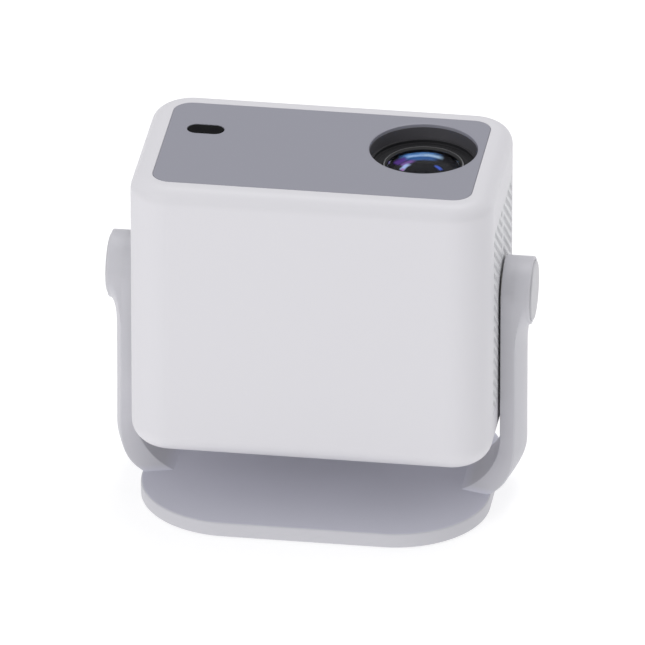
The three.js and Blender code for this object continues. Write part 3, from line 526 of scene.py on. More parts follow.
def turned_metal():
    """Black lens ring with a bare bright crest: fine turning marks as circles round the lens axis."""
    finish = Finish("turned_ring")
    distance = finish.radius(*LENS_AXIS)
    rings = finish.noise(1.0, 2, where=finish.node("ShaderNodeCombineXYZ", {}, {"X": distance * 9000}))
    crest = (distance - ring.half[0] + 0.62 * MM).absolute()
    bare = finish.spread(crest, 0.14 * MM, 0.22 * MM, 1.0, 0.0)
    bright = finish.mixed(rings, (0.60, 0.60, 0.61), (0.95, 0.95, 0.96))
    return finish.surface(
        Base_Color=finish.mixed(bare, (0.012, 0.012, 0.013), bright),
        Metallic=bare,
        Roughness=0.42 - bare * 0.22 + rings * 0.12,
        Normal=finish.bump(rings, 0.01 * MM, 0.4),
    )


def coated_glass(name, ior, tint):
    """Polished clear glass; a coated one reflects less, as glass of a lower index does."""
    finish = Finish(name)
    dust = finish.noise(700, 2)
    specks = finish.spread(dust, 0.70, 0.78)
    return finish.surface(
        Base_Color=finish.mixed(specks, tint, (0.8, 0.82, 0.85)),
        Roughness=0.01 + specks * 0.1,
        IOR=ior,
        Transmission_Weight=1.0,
    )


def circuit_board():
    """Green solder mask over a copper pattern: tracks as bands of a square wave bent by cell noise."""
    finish = Finish("circuit_board")
    cells = finish.node(
        "ShaderNodeTexVoronoi", {"distance": "MANHATTAN"}, {"Vector": finish.place, "Scale": 160.0},
    )
    tracks = finish.node(
        "ShaderNodeTexWave", {"bands_direction": "DIAGONAL"},
        {"Vector": finish.place, "Scale": 260.0, "Distortion": 1.5, "Detail": 1.0},
    )
    copper = finish.spread(tracks * finish.spread(cells, 0.2, 0.5), 0.35, 0.45)
    return finish.surface(
        Base_Color=finish.mixed(copper, (0.010, 0.070, 0.035), (0.030, 0.150, 0.070)),
        Roughness=0.35 + copper * 0.1,
        Normal=finish.bump(copper, 0.05 * MM, 0.6),
    )


def rubber():
    """Matt black rubber with a faint cloth-like grain."""
    finish = Finish("foot_rubber")
    grain = finish.noise(1500, 3)
    return finish.surface(
        Base_Color=finish.mixed(grain, (0.015, 0.015, 0.016), (0.035, 0.035, 0.036)),
        Roughness=0.8 + (grain - 0.5) * 0.15,
        Normal=finish.bump(grain, 0.08 * MM, 0.6),
    )


def ribbed_optic(name, colour, clear):
    """Flat optic whose face carries fine concentric ribs round the light path."""
    finish = Finish(name)
    _, along, up = finish.axes()
    middle_y, middle_z = LENS_AXIS[1], Span("lcd_panel").mid[2]
    radius = ((along - middle_y) ** 2 + (up - middle_z) ** 2) ** 0.5
    ribs = finish.node("ShaderNodeMath", {"operation": "FRACT"}, {0: radius * 1500})
    return finish.surface(
        Base_Color=finish.mixed(ribs * 0.3, colour, [c * 0.8 for c in colour]),
        Roughness=0.06 + ribs * 0.04,
        Transmission_Weight=clear,
        Normal=finish.bump(ribs, 0.1 * MM, 0.4),
    )


def bowl_painted_reflections():
    """Second glass: near black, with painted reflections: coloured bands stand in for the lamps' reflections
    in the coating. An arc is a band of radius times a band of angle round the lens axis."""
    finish = Finish("bowl_painted_reflections")
    across, along, _ = finish.axes()
    distance = finish.radius(*LENS_AXIS) / MM
    angle = finish.node(
        "ShaderNodeMath", {"operation": "ARCTAN2"}, {0: along - LENS_AXIS[1], 1: across - LENS_AXIS[0]},
    )
    ripple = finish.noise(160, 2) - 0.5

    def band(value, middle, half, soft):
        """1 within half of the middle, falling to 0 over soft."""
        away = (value - middle).absolute()
        return finish.spread(away, half, half + soft, 1.0, 0.0)

    # painted reflections: each entry is a coloured highlight of the lamps in the lens coating, given as
    # radius, half width, softness, middle angle, reach and colour
    painted_reflection_arcs = [
        (17.0, 1.2, 1.4, 104, 36, (0.10, 0.30, 0.72)),
        (16.6, 0.5, 0.9, 82, 20, (0.55, 0.78, 1.00)),
        (16.8, 0.4, 0.8, 112, 16, (0.42, 0.66, 0.98)),
        (14.6, 0.8, 1.2, 100, 30, (0.04, 0.14, 0.40)),
        (16.0, 0.8, 1.4, 146, 16, (0.13, 0.05, 0.34)),
        (13.0, 0.5, 1.0, 138, 20, (0.24, 0.10, 0.42)),
        (11.4, 0.6, 0.9, 158, 20, (0.52, 0.66, 1.00)),
        (11.2, 0.3, 0.8, 178, 12, (0.50, 0.24, 0.60)),
        (9.4, 0.4, 0.9, 40, 18, (0.07, 0.15, 0.72)),
    ]
    colour = (0.006, 0.006, 0.008)
    for radius, half, soft, middle, reach, shade in painted_reflection_arcs:
        share = band(distance + ripple * 1.2, radius, half, soft)
        soft_end = math.radians(reach * 0.6)
        share = share * band(angle + ripple * 0.25, math.radians(middle), soft_end, soft_end)
        colour = finish.mixed(share, colour, shade)
    return finish.surface(
        Base_Color=colour, Roughness=0.12 + (ripple + 0.5) * 0.05, Specular_IOR_Level=0.06,
    )


window_finish = window_glass()
steel_finish = brushed("plain_steel", (0.52, 0.53, 0.54), 0)
aluminium_finish = brushed("plain_aluminium", (0.66, 0.67, 0.69), 2, 0.38)
brass_finish = brushed("plain_brass", (0.62, 0.48, 0.22), 2, 0.28)
socket_finish = brushed("plated_socket", (0.58, 0.58, 0.57), 2, 0.25)
ring_finish = turned_metal()
front_glass_finish = coated_glass("front_coating", 1.10, (0.96, 0.97, 1.0))
painted_reflection_finish = bowl_painted_reflections()
clear_finish = coated_glass("clear_optic", 1.5, (0.93, 0.95, 0.98))
led_finish = brushed("led_plate", (0.86, 0.80, 0.45), 1, 0.5)
motor_finish = brushed("motor_can", (0.60, 0.61, 0.62), 1, 0.34)
board_finish = circuit_board()
rubber_finish = rubber()
fresnel_finish = ribbed_optic("ribbed_lens", (0.85, 0.88, 0.92), 0.9)
lcd_finish = ribbed_optic("lcd_glass", (0.02, 0.02, 0.03), 0.0)
mirror_finish = brushed("silvered_mirror", (0.92, 0.93, 0.95), 1, 0.04)

# ------------------------------------------------------------------ body shell


def housing_shell():
    """White shell, one closed skin. Loops of one rounded rectangle are stacked from the rear mouth round
    the rear edge, up the sides, round the front edge, down into the panel's seat and back along the inside.
    The flat sides leave windows for the grilles, and the back leaves a round hole for the button."""
    skin = Skin()
    low, high = body.low[2], body.high[2]
    half_x, half_y = body.half[:2]
    seat_x, seat_y = panel.half[0] + GAP, panel.half[1] + GAP
    mouth_x, mouth_y = rear.half[0] + GAP, rear.half[1] + GAP
    seat_floor = panel.low[2] - GAP
    window_y = GRILLE_HALF_WIDTH + GAP
    window_low, window_high = (GRILLE_MIDDLE + side * (GRILLE_HALF_HEIGHT + GAP) for side in (-1, 1))
    stations = [window_low, button.mid[2] - PATCH, button.mid[2] + PATCH, window_high]
    lip = 0.4 * MM
    ledge = 2.3 * MM

    def outside(edge, share, upper, inner=0.0):
        """A row on a rounded edge: share 0 on the flat end and 1 on the side; inner moves it into the
        shell."""
        angle = share * math.pi / 2
        radius = edge - inner
        inset = edge - radius * math.sin(angle)
        rise = edge - radius * math.cos(angle)
        z = high - rise if upper else low + rise
        return half_x - inset, half_y - inset, BODY_CORNER - inset, z

    shares = np.linspace(0, 1, 15)
    rows = [(mouth_x, mouth_y, REAR_CORNER + GAP, z) for z in (low + WALL, low + lip)]
    rows += [(mouth_x + lip, mouth_y + lip, REAR_CORNER + GAP + lip, low)]
    inset = REAR_EDGE + SUPPORT
    rows += [(half_x - inset, half_y - inset, BODY_CORNER - inset, low)]
    rows += [outside(REAR_EDGE, share, False) for share in shares]
    rows += [(half_x, half_y, BODY_CORNER, low + REAR_EDGE + SUPPORT)]
    rows += [(half_x, half_y, BODY_CORNER, z) for z in stations]
    rows += [(half_x, half_y, BODY_CORNER, high - FRONT_EDGE - SUPPORT)]
    rows += [outside(FRONT_EDGE, share, True) for share in shares[::-1]]
    inset = FRONT_EDGE + SUPPORT
    rows += [(half_x - inset, half_y - inset, BODY_CORNER - inset, high)]
    rows += [(seat_x + lip + SUPPORT, seat_y + lip + SUPPORT, PANEL_CORNER + lip + GAP + SUPPORT, high)]
    for a in arc(0, 90, 3):
        inset = lip * (1 - math.sin(a))
        height = high - lip * (1 - math.cos(a))
        rows.append((seat_x + inset, seat_y + inset, PANEL_CORNER + GAP + inset, height))
    rows += [(seat_x, seat_y, PANEL_CORNER + GAP, seat_floor)]
    ledge_corner = PANEL_CORNER + GAP - ledge
    rows += [(seat_x - ledge, seat_y - ledge, ledge_corner, z) for z in (seat_floor, high - FRONT_WALL)]
    inner_front = FRONT_EDGE - WALL
    for share in shares[::2]:
        a = share * math.pi / 2
        inset = WALL + inner_front * (1 - math.sin(a))
        z = high - FRONT_WALL - inner_front * (1 - math.cos(a))
        rows.append((half_x - inset, half_y - inset, BODY_CORNER - inset, z))
    rows += [(half_x - WALL, half_y - WALL, BODY_CORNER - WALL, z) for z in stations[::-1]]
    rows += [outside(REAR_EDGE, share, False, WALL) for share in shares[::-2]]
    rows += [rows[0]]
    marks = (PATCH, -PATCH), (window_y, -window_y)
    loops = np.stack([lift(rounded_loop(*row[:3], 12, *marks), row[3]) for row in rows])
    around = loops + np.roll(loops, -1, 1)
    x, y, z = np.moveaxis((around[:-1] + around[1:]) / 4, -1, 0)
    level = (z > window_low) & (z < window_high)
    on_side = (np.abs(x) > half_x - WALL - 1e-6) & (np.abs(y) < window_y) & level
    at_button = (y > half_y - WALL - 1e-6) & (np.abs(x) < PATCH) & (np.abs(z - button.mid[2]) < PATCH)
    skin.grid(loops, keep=~(on_side | at_button))
    frame_v = [(window_y, z) for z in stations] + [(-window_y, z) for z in stations[::-1]]
    for plane in (facing_right, facing_left):
        skin.grid(np.stack([plane(lift(np.array(frame_v), height)) for height in (half_x, half_x - WALL)]))
    hole = circle_loop(BUTTON_HOLE, 64, (button.mid[0], button.mid[2]))
    square = np.array([(-1, -1), (1, -1), (1, 1), (-1, 1)]) * PATCH + [button.mid[0], button.mid[2]]
    for height in (half_y, half_y - WALL):
        skin.fill([square, hole], height, facing_back)
    skin.grid(np.stack([facing_back(lift(hole, height)) for height in (half_y, half_y - WALL)]))
    return skin


def panel_plate():
    """Grey face plate. The edges of its outline, its lens opening and the sensor window's pill hole are
    finely rounded."""
    skin = Skin()
    pill = window.half[1] + GAP

    def outer(inset):
        inset = inset / 2
        reach = 0.2 * MM - inset
        return rounded_loop(panel.half[0] + reach, panel.half[1] + reach, PANEL_CORNER + reach, 12)

    def lens_hole(inset):
        return circle_loop(RECESS_RADIUS + 0.35 * MM + 2.4 * inset, 144, LENS_AXIS)

    def pill_hole(inset):
        reach = inset / 2
        loop = rounded_loop(window.half[0] + GAP + reach, pill + reach, pill + reach - 0.02 * MM, 12)
        return loop + window.mid[:2]

    skin.plate(outer, [lens_hole, pill_hole], panel.high[2], panel.low[2], 0.5 * MM, steps=6)
    return skin


def hood_cup():
    """Dark recess turned about the lens axis: a thin lip inside the face plate's hole, a finely ribbed
    wall, a step, and the flat ledge round the lens with a shallow groove. The outside follows at a small
    thickness."""
    skin = Skin()
    wall, ledge = RECESS_RADIUS, LEDGE_HEIGHT
    lip = panel.high[2] - 1.9 * MM
    step = ledge + 2.0 * MM
    outside = wall + 0.25 * MM
    shoulder = panel.low[2] - 0.3 * MM
    profile = [(outside, shoulder), (outside, lip), (wall + 0.08 * MM, lip), (wall, lip - 0.1 * MM)]
    for z in np.arange(lip - 0.7 * MM, step + 0.6 * MM, -0.5 * MM):
        profile += [(wall, z + 0.14 * MM), (wall - 0.05 * MM, z)]
    groove, mouth, foot = ledge - 0.25 * MM, 21.6 * MM, shoulder - 2 * MM
    profile += [(wall, step + 0.2 * MM), (wall - 0.2 * MM, step)]
    profile += [(wall - 0.9 * MM, step), (wall - 1.1 * MM, step - 0.2 * MM)]
    profile += [(wall - 1.15 * MM, ledge + 0.3 * MM), (wall - 1.45 * MM, ledge)]
    profile += [(24.6 * MM, ledge), (24.4 * MM, groove), (23.8 * MM, groove), (23.6 * MM, ledge)]
    profile += [(mouth, ledge), (mouth, hood.low[2])]
    profile += [(wall + 2.8 * MM, hood.low[2]), (wall + 2.8 * MM, foot)]
    profile += [(wall + 1.2 * MM, foot), (wall + 1.2 * MM, shoulder), (outside, shoulder)]
    skin.lathe(profile, point=(*LENS_AXIS, 0), steps=144)
    return skin


def window_pill():
    """Pill-shaped window with a softly rounded edge and a flat face."""
    skin = Skin()
    radius = window.half[1]

    def outline(inset):
        loop = rounded_loop(window.half[0] - inset, radius - inset, radius - inset - 0.02 * MM, 12)
        return loop + window.mid[:2]

    skin.plate(outline, [], window.high[2], window.low[2], 0.4 * MM, steps=5)
    return skin


def lens_front_ring():
    """Bright front ring: a narrow flat crest, a chamfer falling towards the glass and a rounded outer
    edge."""
    skin = Skin()
    outer, top, low = ring.half[0], ring.high[2], ring.low[2]
    inner = 19.3 * MM
    profile = [(inner, low), (outer, low), (outer, top - 0.5 * MM)]
    profile += [(outer - back, top - drop) for back, drop in quarter(0.5 * MM, 5)]
    profile += [(outer - 0.8 * MM, top), (inner + 0.15 * MM, top - 0.8 * MM)]
    profile += [(inner, top - 1.0 * MM), (inner, low)]
    skin.lathe(profile, point=(*LENS_AXIS, 0), steps=144)
    return skin


def cap_profile(radius, edge_height, crown, steps=14):
    """Spherical cap as (radius, height): height falls with the square of the radius share."""
    shares = np.linspace(0, 1, steps + 1)
    return [(radius * s, edge_height + crown * (1 - s ** 2)) for s in shares]


def front_dome():
    """Front glass: two spherical caps a little apart, joined at the rim."""
    skin = Skin()
    radius = 19.0 * MM
    edge = dome.high[2] - 3.1 * MM
    above = cap_profile(radius, edge, 3.1 * MM - 0.02 * MM)
    below = cap_profile(radius - 0.3 * MM, edge - 0.9 * MM, 2.8 * MM)
    skin.lathe([*above, *below[::-1]], point=(*LENS_AXIS, 0), steps=128)
    return skin


def inner_bowl():
    """Second glass seen through the front one: a hollow surface carrying painted reflections of the coating,
    in a black cone.
    """
    skin = Skin()
    rim = dome.high[2] - 4.3 * MM
    floor = dome.low[2] + 0.5 * MM
    bowl = [(17.6 * MM * s, floor + (rim - floor) * 0.72 * s ** 2.4) for s in np.linspace(0, 1, 17)]
    under = floor - 0.4 * MM
    profile = [*bowl, (18.4 * MM, rim), (18.8 * MM, rim), (18.8 * MM, under), (0, under)]
    skin.lathe(profile, point=(*LENS_AXIS, 0), steps=128)
    return skin


def grille_holes():
    """Middles of the grille's holes as (Y, Z): upright columns on both sides of a solid middle rib, every
    second one half a pitch higher, leaving out those that would touch the hinge's round seat."""
    columns = np.arange(8)
    rows = np.arange(-8, 9)
    column, row = np.meshgrid(columns, rows, indexing="ij")
    y = HOLE_START + column * HOLE_STEP
    z = (row + (column % 2) / 2) * HOLE_PITCH + GRILLE_MIDDLE
    reach = np.hypot(y, z - HINGE_HEIGHT)
    keep = (np.abs(z - GRILLE_MIDDLE) <= GRILLE_HALF_HEIGHT - 2.4 * MM) & (reach > DISC_RADIUS + 3.2 * MM)
    half = np.stack([y[keep], z[keep]], 1)
    return np.concatenate([half, half * [-1, 1]])


def grille_plate(plane):
    """Perforated side plate."""
    skin = Skin()
    face = body.half[0]
    behind = face - WALL - GAP
    middle = (0, GRILLE_MIDDLE)
    corner = 0.6 * MM

    def face_outline(inset):
        return rounded_loop(GRILLE_HALF_WIDTH - inset, GRILLE_HALF_HEIGHT - inset, corner, 3) + middle

    def hole(place):
        return lambda inset: circle_loop(HOLE_RADIUS + inset, 16, place)

    def seat(inset):
        return circle_loop(DISC_RADIUS + GAP + inset, 64, (0, HINGE_HEIGHT))

    holes = [hole(place) for place in grille_holes()]
    skin.plate(face_outline, [*holes, seat], face, face - 1.8 * MM, 0.22 * MM, plane, steps=2)
    return skin


build("housing_shell", housing_shell(), "head", shell_finish, ["housing"])
build("lens_face_plate", panel_plate(), "head", panel_finish, ["lens_panel"])
build("lens_recess", hood_cup(), "head", hood_finish, ["lens_hood"])
build("sensor_pill", window_pill(), "head", window_finish, ["sensor_window"])
build("lens_front_ring", lens_front_ring(), "lens_group", ring_finish, ["retaining_ring"])
build("front_dome", front_dome(), "lens_group", front_glass_finish, ["front_element"])
build("inner_bowl", inner_bowl(), "lens_group", painted_reflection_finish)
for side, plane in (("right", facing_right), ("left", facing_left)):
    build(
        f"perforated_{side}", grille_plate(plane), "head", grille_finish,
        [f"side_grille_{side}"],
    )

# ------------------------------------------------------------------ stand

BASE_HALF_X, BASE_HALF_Y = 92.1 * MM, stand.half[1]
BASE_TOP = 8.9 * MM
BASE_CORNER = 50 * MM
BASE_WALL = 2.4 * MM
BASE_LIFT = stand.low[2]
ARM_INNER = body.half[0] + 1.2 * MM
ARM_THICKNESS = 9.8 * MM
ARM_HALF_WIDTH = 17.85 * MM
ARM_FLARE = 4.3 * MM
ARM_FLARE_TOP = 66 * MM
ARM_EDGE = 2.2 * MM
ARM_OUTER_EDGE = 0.7 * MM
ARM_INNER_EDGE = 0.5 * MM
ARM_BOW = 4.1 * MM
ARM_FOOT_BOW = 0.6 * MM
INNER_BEND, INNER_BEND_HEIGHT = 34 * MM, 40 * MM
OUTER_BEND, OUTER_BEND_HEIGHT = 27.4 * MM, 33 * MM
HUB_FACE = stand.high[0]
HUB_FILLET = 14 * MM
HUB_BEVEL = 0.7 * MM
CAP_RADIUS = cap.half[1]


def smooth_share(value, low, high):
    """0 below low, 1 above high and a smooth step between."""
    t = np.clip((value - low) / (high - low), 0, 1)
    return t * t * (3 - 2 * t)


def base_skin():
    """Rounded plate, hollow below: loops from the hollow's roof down its wall, out under the rim, up the
    side with both edges rounded, and over the flat top."""
    skin = Skin()
    edge = 1.0 * MM

    def loop(inset, height):
        return lift(rounded_loop(BASE_HALF_X - inset, BASE_HALF_Y - inset, BASE_CORNER - inset, 32), height)

    roof = BASE_TOP - BASE_WALL
    rows = [loop(BASE_WALL + SUPPORT, roof), loop(BASE_WALL, roof), loop(BASE_WALL, BASE_LIFT)]
    rows += [loop(edge + SUPPORT, BASE_LIFT)]
    rows += [loop(edge * (1 - math.sin(a)), BASE_LIFT + edge * (1 - math.cos(a))) for a in arc(0, 90, 5)]
    rows += [loop(back, BASE_TOP - drop) for back, drop in quarter(edge, 5)]
    rows += [loop(edge + SUPPORT, BASE_TOP)]
    skin.grid(np.stack(rows))
    skin.fill([rows[-1][:, :2]], BASE_TOP)
    skin.fill([rows[0][:, :2]], roof)
    return skin


def arm_skin(skin, side):
    """One arm as a bent strap. Rows run from inside the base's plate round the bend, straight up and round
    the top. Each row is a closed section whose long edges are rounded: its points lie between the inner and
    the outer face, inset from the strap's edge. The outer face bows across the strap as a parabola, flatter
    at the foot, where the strap also flares, more on its outside. Round the bend each face turns through
    its own angle, so that both end at one height; round the top a row turns with its own outline, so that
    the rounding keeps its width."""
    foot = BASE_TOP - 1.2 * MM

    def on_bend(share, face, radius, centre):
        """Point of one face, share 1 at the foot and 0 at the top of its bend."""
        angle = share * math.asin((centre - foot) / radius)
        return face - radius * (1 - math.cos(angle)), centre - radius * math.sin(angle)

    def straight(height):
        return [(ARM_INNER, height), (ARM_INNER + ARM_THICKNESS, height)]

    rows = [
        (on_bend(share, ARM_INNER, INNER_BEND, INNER_BEND_HEIGHT),
         on_bend(share, ARM_INNER + ARM_THICKNESS, OUTER_BEND, OUTER_BEND_HEIGHT), 0.0)
        for share in np.linspace(1, 0, 33)
    ]
    heights = [*np.linspace(INNER_BEND_HEIGHT, 90 * MM, 14)[1:], *np.linspace(92 * MM, HINGE_HEIGHT, 12)]
    rows += [(*straight(height), 0.0) for height in heights]
    rows += [(*straight(HINGE_HEIGHT), turn) for turn in arc(0, 90, 18)[1:]]
    inner, outer = ARM_INNER_EDGE, ARM_OUTER_EDGE
    pairs = [(inner + SUPPORT, 0.0)]
    pairs += [(inner * (1 - math.sin(a)), inner * (1 - math.cos(a))) for a in arc(0, 90, 4)]
    pairs += [(outer * (1 - math.cos(a)), ARM_THICKNESS - outer * (1 - math.sin(a))) for a in arc(0, 90, 4)]
    pairs += [(outer + SUPPORT, ARM_THICKNESS)]
    pairs += [(ARM_HALF_WIDTH * share, ARM_THICKNESS) for share in (0.15, 0.3, 0.45, 0.6, 0.75, 0.9)]
    inset, through = np.array(pairs).T
    on_outside = through > ARM_THICKNESS / 2
    loops = []
    for near, far, turn in rows:
        height = (near[1] + far[1]) / 2
        flare = ARM_FLARE * (1 - smooth_share(height, BASE_TOP + 2 * ARM_EDGE, ARM_FLARE_TOP))
        bow = ARM_FOOT_BOW + (ARM_BOW - ARM_FOOT_BOW) * smooth_share(height, BASE_TOP, OUTER_BEND_HEIGHT)
        width = ARM_HALF_WIDTH + flare * through / ARM_THICKNESS
        reach = (ARM_HALF_WIDTH - inset) * width / ARM_HALF_WIDTH
        share = (through + on_outside * bow * (0.5 - (reach / width) ** 2)) / ARM_THICKNESS
        spine = np.array(near) * (1 - share[:, None]) + np.array(far) * share[:, None]
        half_loop = np.stack([spine[:, 0], reach * math.cos(turn), spine[:, 1] + reach * math.sin(turn)], 1)
        loops.append(np.concatenate([half_loop, half_loop[::-1] * [1, -1, 1]]))
    grid = np.stack(loops) * [side, 1, 1]
    skin.grid(grid)
    skin.add(grid[0], [np.arange(grid.shape[1])])


def hub_skin(skin, side):
    """Round hub standing out of the arm: a profile turned about the hinge axis, its hollow fillet held to
    the arm's width so that it runs out only along the arm; the face has the cap's round seat."""
    face = ARM_INNER + ARM_THICKNESS
    reach = min(HUB_FILLET, HUB_FACE - face - 1 * MM)
    angles = arc(0, 90, 8)
    root, buried = ARM_HALF_WIDTH + HUB_FILLET, face - 3 * MM
    profile = [(0, buried), (root, buried), (root, face)]
    for a in angles[1:]:
        profile.append((ARM_HALF_WIDTH + HUB_FILLET * (1 - math.sin(a)), face + reach * (1 - math.cos(a))))
    profile += [(ARM_HALF_WIDTH, HUB_FACE - HUB_BEVEL)]
    profile += [(ARM_HALF_WIDTH - back, HUB_FACE - drop) for back, drop in quarter(HUB_BEVEL, 4)]
    seat = CAP_RADIUS + GAP
    seat_floor = HUB_FACE - 1.9 * MM
    profile += [(seat + 0.15 * MM, HUB_FACE), (seat, HUB_FACE - 0.15 * MM)]
    profile += [(seat, seat_floor), (0, seat_floor)]
    profile = np.array(profile)
    turn = np.arange(144) / 144 * TURN
    y = profile[:, :1] * np.sin(turn)
    z = -profile[:, :1] * np.cos(turn)
    upper = np.maximum(z, 0)
    limit = ARM_HALF_WIDTH - 0.01 * MM
    scale = np.where(z > 0, np.minimum(1, limit / np.maximum(profile[:, :1], 1e-9)), 1.0)
    y, z = y * scale, z * scale
    y = np.clip(y, -limit, limit)
    across = np.where(z > 0, np.hypot(y, z), np.abs(y)) / ARM_HALF_WIDTH
    crown = ARM_BOW * (0.5 - across ** 2)
    top = HUB_FACE - HUB_BEVEL
    risen = np.clip((top - profile[:, 1:]) / (top - face), 0, 1)
    x = profile[:, 1:] + crown * risen
    skin.grid(np.stack([side * x, y, z + HINGE_HEIGHT], -1))


def cap_skin(side):
    """Round cap with a wide soft chamfer and a flat face."""
    skin = Skin()
    back, face = 109.6 * MM, cap.high[0]
    edge = 0.7 * MM
    profile = [(0, back), (CAP_RADIUS, back), (CAP_RADIUS, face - edge)]
    for a in arc(15, 90, 5):
        profile.append((CAP_RADIUS - edge * (1 - math.cos(a)), face - edge * (1 - math.sin(a))))
    profile += [(CAP_RADIUS - edge - SUPPORT, face), (0, face)]
    skin.lathe(profile, "x", (0, 0, HINGE_HEIGHT), 96)
    skin.points = [points * [side, 1, 1] for points in skin.points]
    return skin


stand_parts = base_skin()
for side in (1, -1):
    arm_skin(stand_parts, side)
    hub_skin(stand_parts, side)
build("stand_shell", stand_parts, "stand", stand_finish, ["stand_frame"])
build("hinge_cap_right", cap_skin(1), "stand", cap_finish, ["hub_cap_right"])
build("hinge_cap_left", cap_skin(-1), "stand", cap_finish, ["hub_cap_left"])

# ------------------------------------------------------------------ rear face and button


def rear_plate():
    """Rear cover with its air slots, port openings and screw seats."""
    skin = Skin()

    def outer(inset):
        return rounded_loop(rear.half[0] - inset, rear.half[1] - inset, REAR_CORNER - inset, 8)

    def opening(middle, half_u, half_v, corner):
        """Rounded rectangular hole that grows with the inset."""
        return lambda inset: rounded_loop(half_u + inset, half_v + inset, corner + inset, 6) + middle

    holes = []
    for place in range(9):
        holes.append(opening(((place - 4) * 8 * MM, 14 * MM), 1.5 * MM, 17 * MM, 1.49 * MM))
    socket_corners = {"hdmi_socket": 0.8, "usb_socket": 0.6, "power_inlet": 1.5, "audio_jack": 3.48}
    for socket, corner in socket_corners.items():
        span = Span(socket)
        holes.append(opening(span.mid[:2], span.half[0] + GAP, span.half[1] + GAP, corner * MM))
    for x in (-68, 68):
        for y in (-32, 32):
            holes.append(opening((x * MM, y * MM), 2.9 * MM, 2.9 * MM, 2.89 * MM))
    skin.plate(outer, holes, -rear.low[2], -rear.high[2], 0.35 * MM, facing_down, steps=3)
    return skin


def button_cap():
    """Round key with a soft edge and a shallow dish, on its guiding skirt and stem."""
    skin = Skin()
    face = button.high[1]
    radius = 7 * MM
    edge = 0.6 * MM
    dish = [(radius * 0.88 * s, face - 0.45 * MM * (1 - s ** 2) ** 2) for s in np.linspace(0, 1, 12)]
    profile = [(0, button.low[1]), (2 * MM, button.low[1]), (2 * MM, 53.1 * MM), (9 * MM, 53.1 * MM)]
    profile += [(9 * MM, 54.5 * MM), (radius, 54.5 * MM), (radius, face - edge)]
    profile += [(radius - edge * (1 - math.cos(a)), face - edge * (1 - math.sin(a))) for a in arc(0, 90, 5)]
    profile += dish[::-1]
    skin.lathe(profile, "y", (button.mid[0], 0, button.mid[2]), 96)
    return skin


def screw_skin(node, head_radius):
    """Pan head with a cross recess, seen from below, on its shank. The head is a polar grid whose height is
    a low crown less the cross, whose walls slope."""
    skin = Skin()
    span = Span(node)
    shares = np.linspace(0, 1, 15)[:, None]
    turn = (np.arange(64) / 64 * TURN)[None]
    r = shares * head_radius
    x, y = r * np.cos(turn), r * np.sin(turn)
    across = np.minimum(np.abs(x), np.abs(y))
    along = np.maximum(np.abs(x), np.abs(y))
    arm = smooth_share(-across, -0.62 * MM, -0.34 * MM)
    arm = arm * smooth_share(-along, -head_radius * 0.72, -head_radius * 0.55)
    depth = 0.75 * MM * arm + 0.25 * MM * shares ** 3
    head = np.stack([x, y, span.low[2] + depth], -1)
    rim = head[-1:].copy()
    wall = rim + [0, 0, 0.5 * MM]
    shank_radius = head_radius * 0.5
    shank = np.stack([shank_radius * np.cos(turn), shank_radius * np.sin(turn), np.zeros_like(turn)], -1)
    under = shank + [0, 0, span.low[2] + 0.8 * MM]
    end = shank + [0, 0, span.high[2]]
    skin.grid(np.concatenate([head, wall, under, end, end * [0, 0, 1]]) + [span.mid[0], span.mid[1], 0])
    return skin


build("rear_plate", rear_plate(), "head", shell_finish, ["rear_cover"])
build("power_key", button_cap(), "power_button", key_finish, ["power_button"])
for place in ("front_left", "front_right", "back_left", "back_right"):
    for where, ride, radius in (("rear", "head", 2.6), ("base", "stand", 2.8)):
        node = f"{where}_screw_{place}"
        skin = screw_skin(node, radius * MM)
        build(f"{where}_cross_screw_{place}", skin, ride, steel_finish, [node])

# ------------------------------------------------------------------ finishes of the frame's own pieces

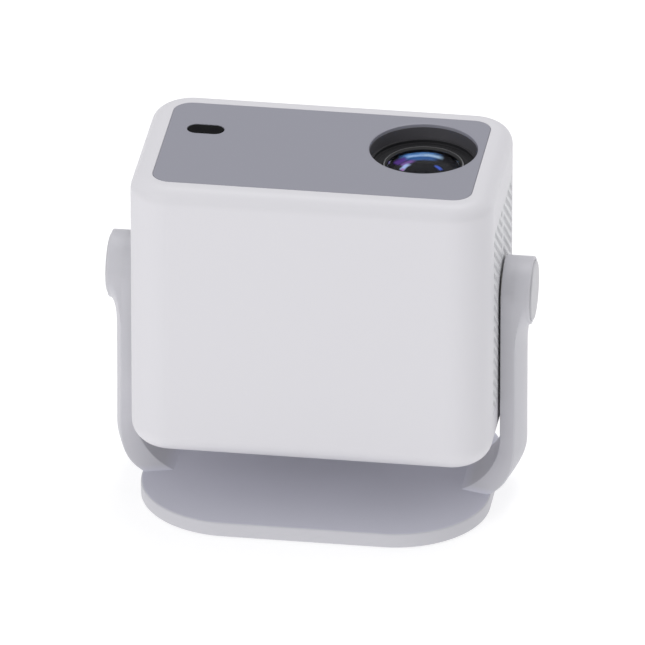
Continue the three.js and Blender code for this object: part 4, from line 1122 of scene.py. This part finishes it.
FINISHES = {
    rubber_finish: ["foot_pad"],
    steel_finish: [
        "base_weight", "hinge_pin_left", "hinge_pin_right", "hinge_bracket_left", "hinge_bracket_right",
    ],
    motor_finish: ["focus_motor"],
    black_finish: [
        "base_cover", "optical_housing", "lens_barrel", "exhaust_fan_frame", "intake_fan_frame",
        "speaker_left", "speaker_right", "audio_jack", "power_inlet",
    ],
    rotor_finish: ["exhaust_fan_rotor", "intake_fan_rotor"],
    nylon_finish: ["focus_gear", "friction_washer_left", "friction_washer_right"],
    brass_finish: ["focus_pinion"],
    aluminium_finish: ["heat_sink", "heat_spreader"],
    led_finish: ["led_module"],
    board_finish: ["main_board", "power_board", "sensor_board", "button_board"],
    clear_finish: ["condenser_lens", "heat_glass", "rear_element"],
    fresnel_finish: ["rear_fresnel", "front_fresnel"],
    lcd_finish: ["lcd_panel"],
    mirror_finish: ["fold_mirror"],
    socket_finish: ["hdmi_socket", "usb_socket"],
}
for finish, names in FINISHES.items():
    for name in names:
        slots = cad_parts[name].material_slots
        for place in slots:
            place.material = finish

# ------------------------------------------------------------------ floor and light


def floor():
    """Wide pale floor just below the pad."""
    mesh = bpy.data.meshes.new("floor")
    reach = 12.0
    corners = [(-reach, -reach, 0), (reach, -reach, 0), (reach, reach, 0), (-reach, reach, 0)]
    mesh.from_pydata(corners, [], [(0, 1, 2, 3)])
    piece = bpy.data.objects.new("floor", mesh)
    bpy.context.scene.collection.objects.link(piece)
    finish = Finish("pale_floor")
    mesh.materials.append(finish.surface(
        Base_Color=(0.45, 0.45, 0.455, 1), Roughness=1.0, Specular_IOR_Level=0.0,
        Emission_Color=(1, 1, 1, 1), Emission_Strength=0.68,
    ))


def softbox(name, place, size, power):
    """Square area light turned towards the object."""
    data = bpy.data.lights.new(name, "AREA")
    data.shape = "SQUARE"
    data.size = size
    data.energy = power
    light = bpy.data.objects.new(name, data)
    light.location = place
    light.rotation_euler = (Vector((0, 0, 0.1)) - Vector(place)).to_track_quat("-Z", "Y").to_euler()
    bpy.context.scene.collection.objects.link(light)


floor()
softbox("front_left_light", (-1.5, -2.6, 1.5), 1.8, 27.0)
softbox("right_light", (2.3, 1.7, 1.0), 1.6, 5.0)
softbox("top_light", (0.2, 0.9, 3.0), 1.6, 33.0)

world = bpy.data.worlds.new("studio")
world.use_nodes = True
world.node_tree.nodes["Background"].inputs["Color"].default_value = (0.98, 0.985, 1.0, 1.0)
world.node_tree.nodes["Background"].inputs["Strength"].default_value = 0.56
bpy.context.scene.world = world
bpy.context.scene.view_settings.view_transform = "Standard"
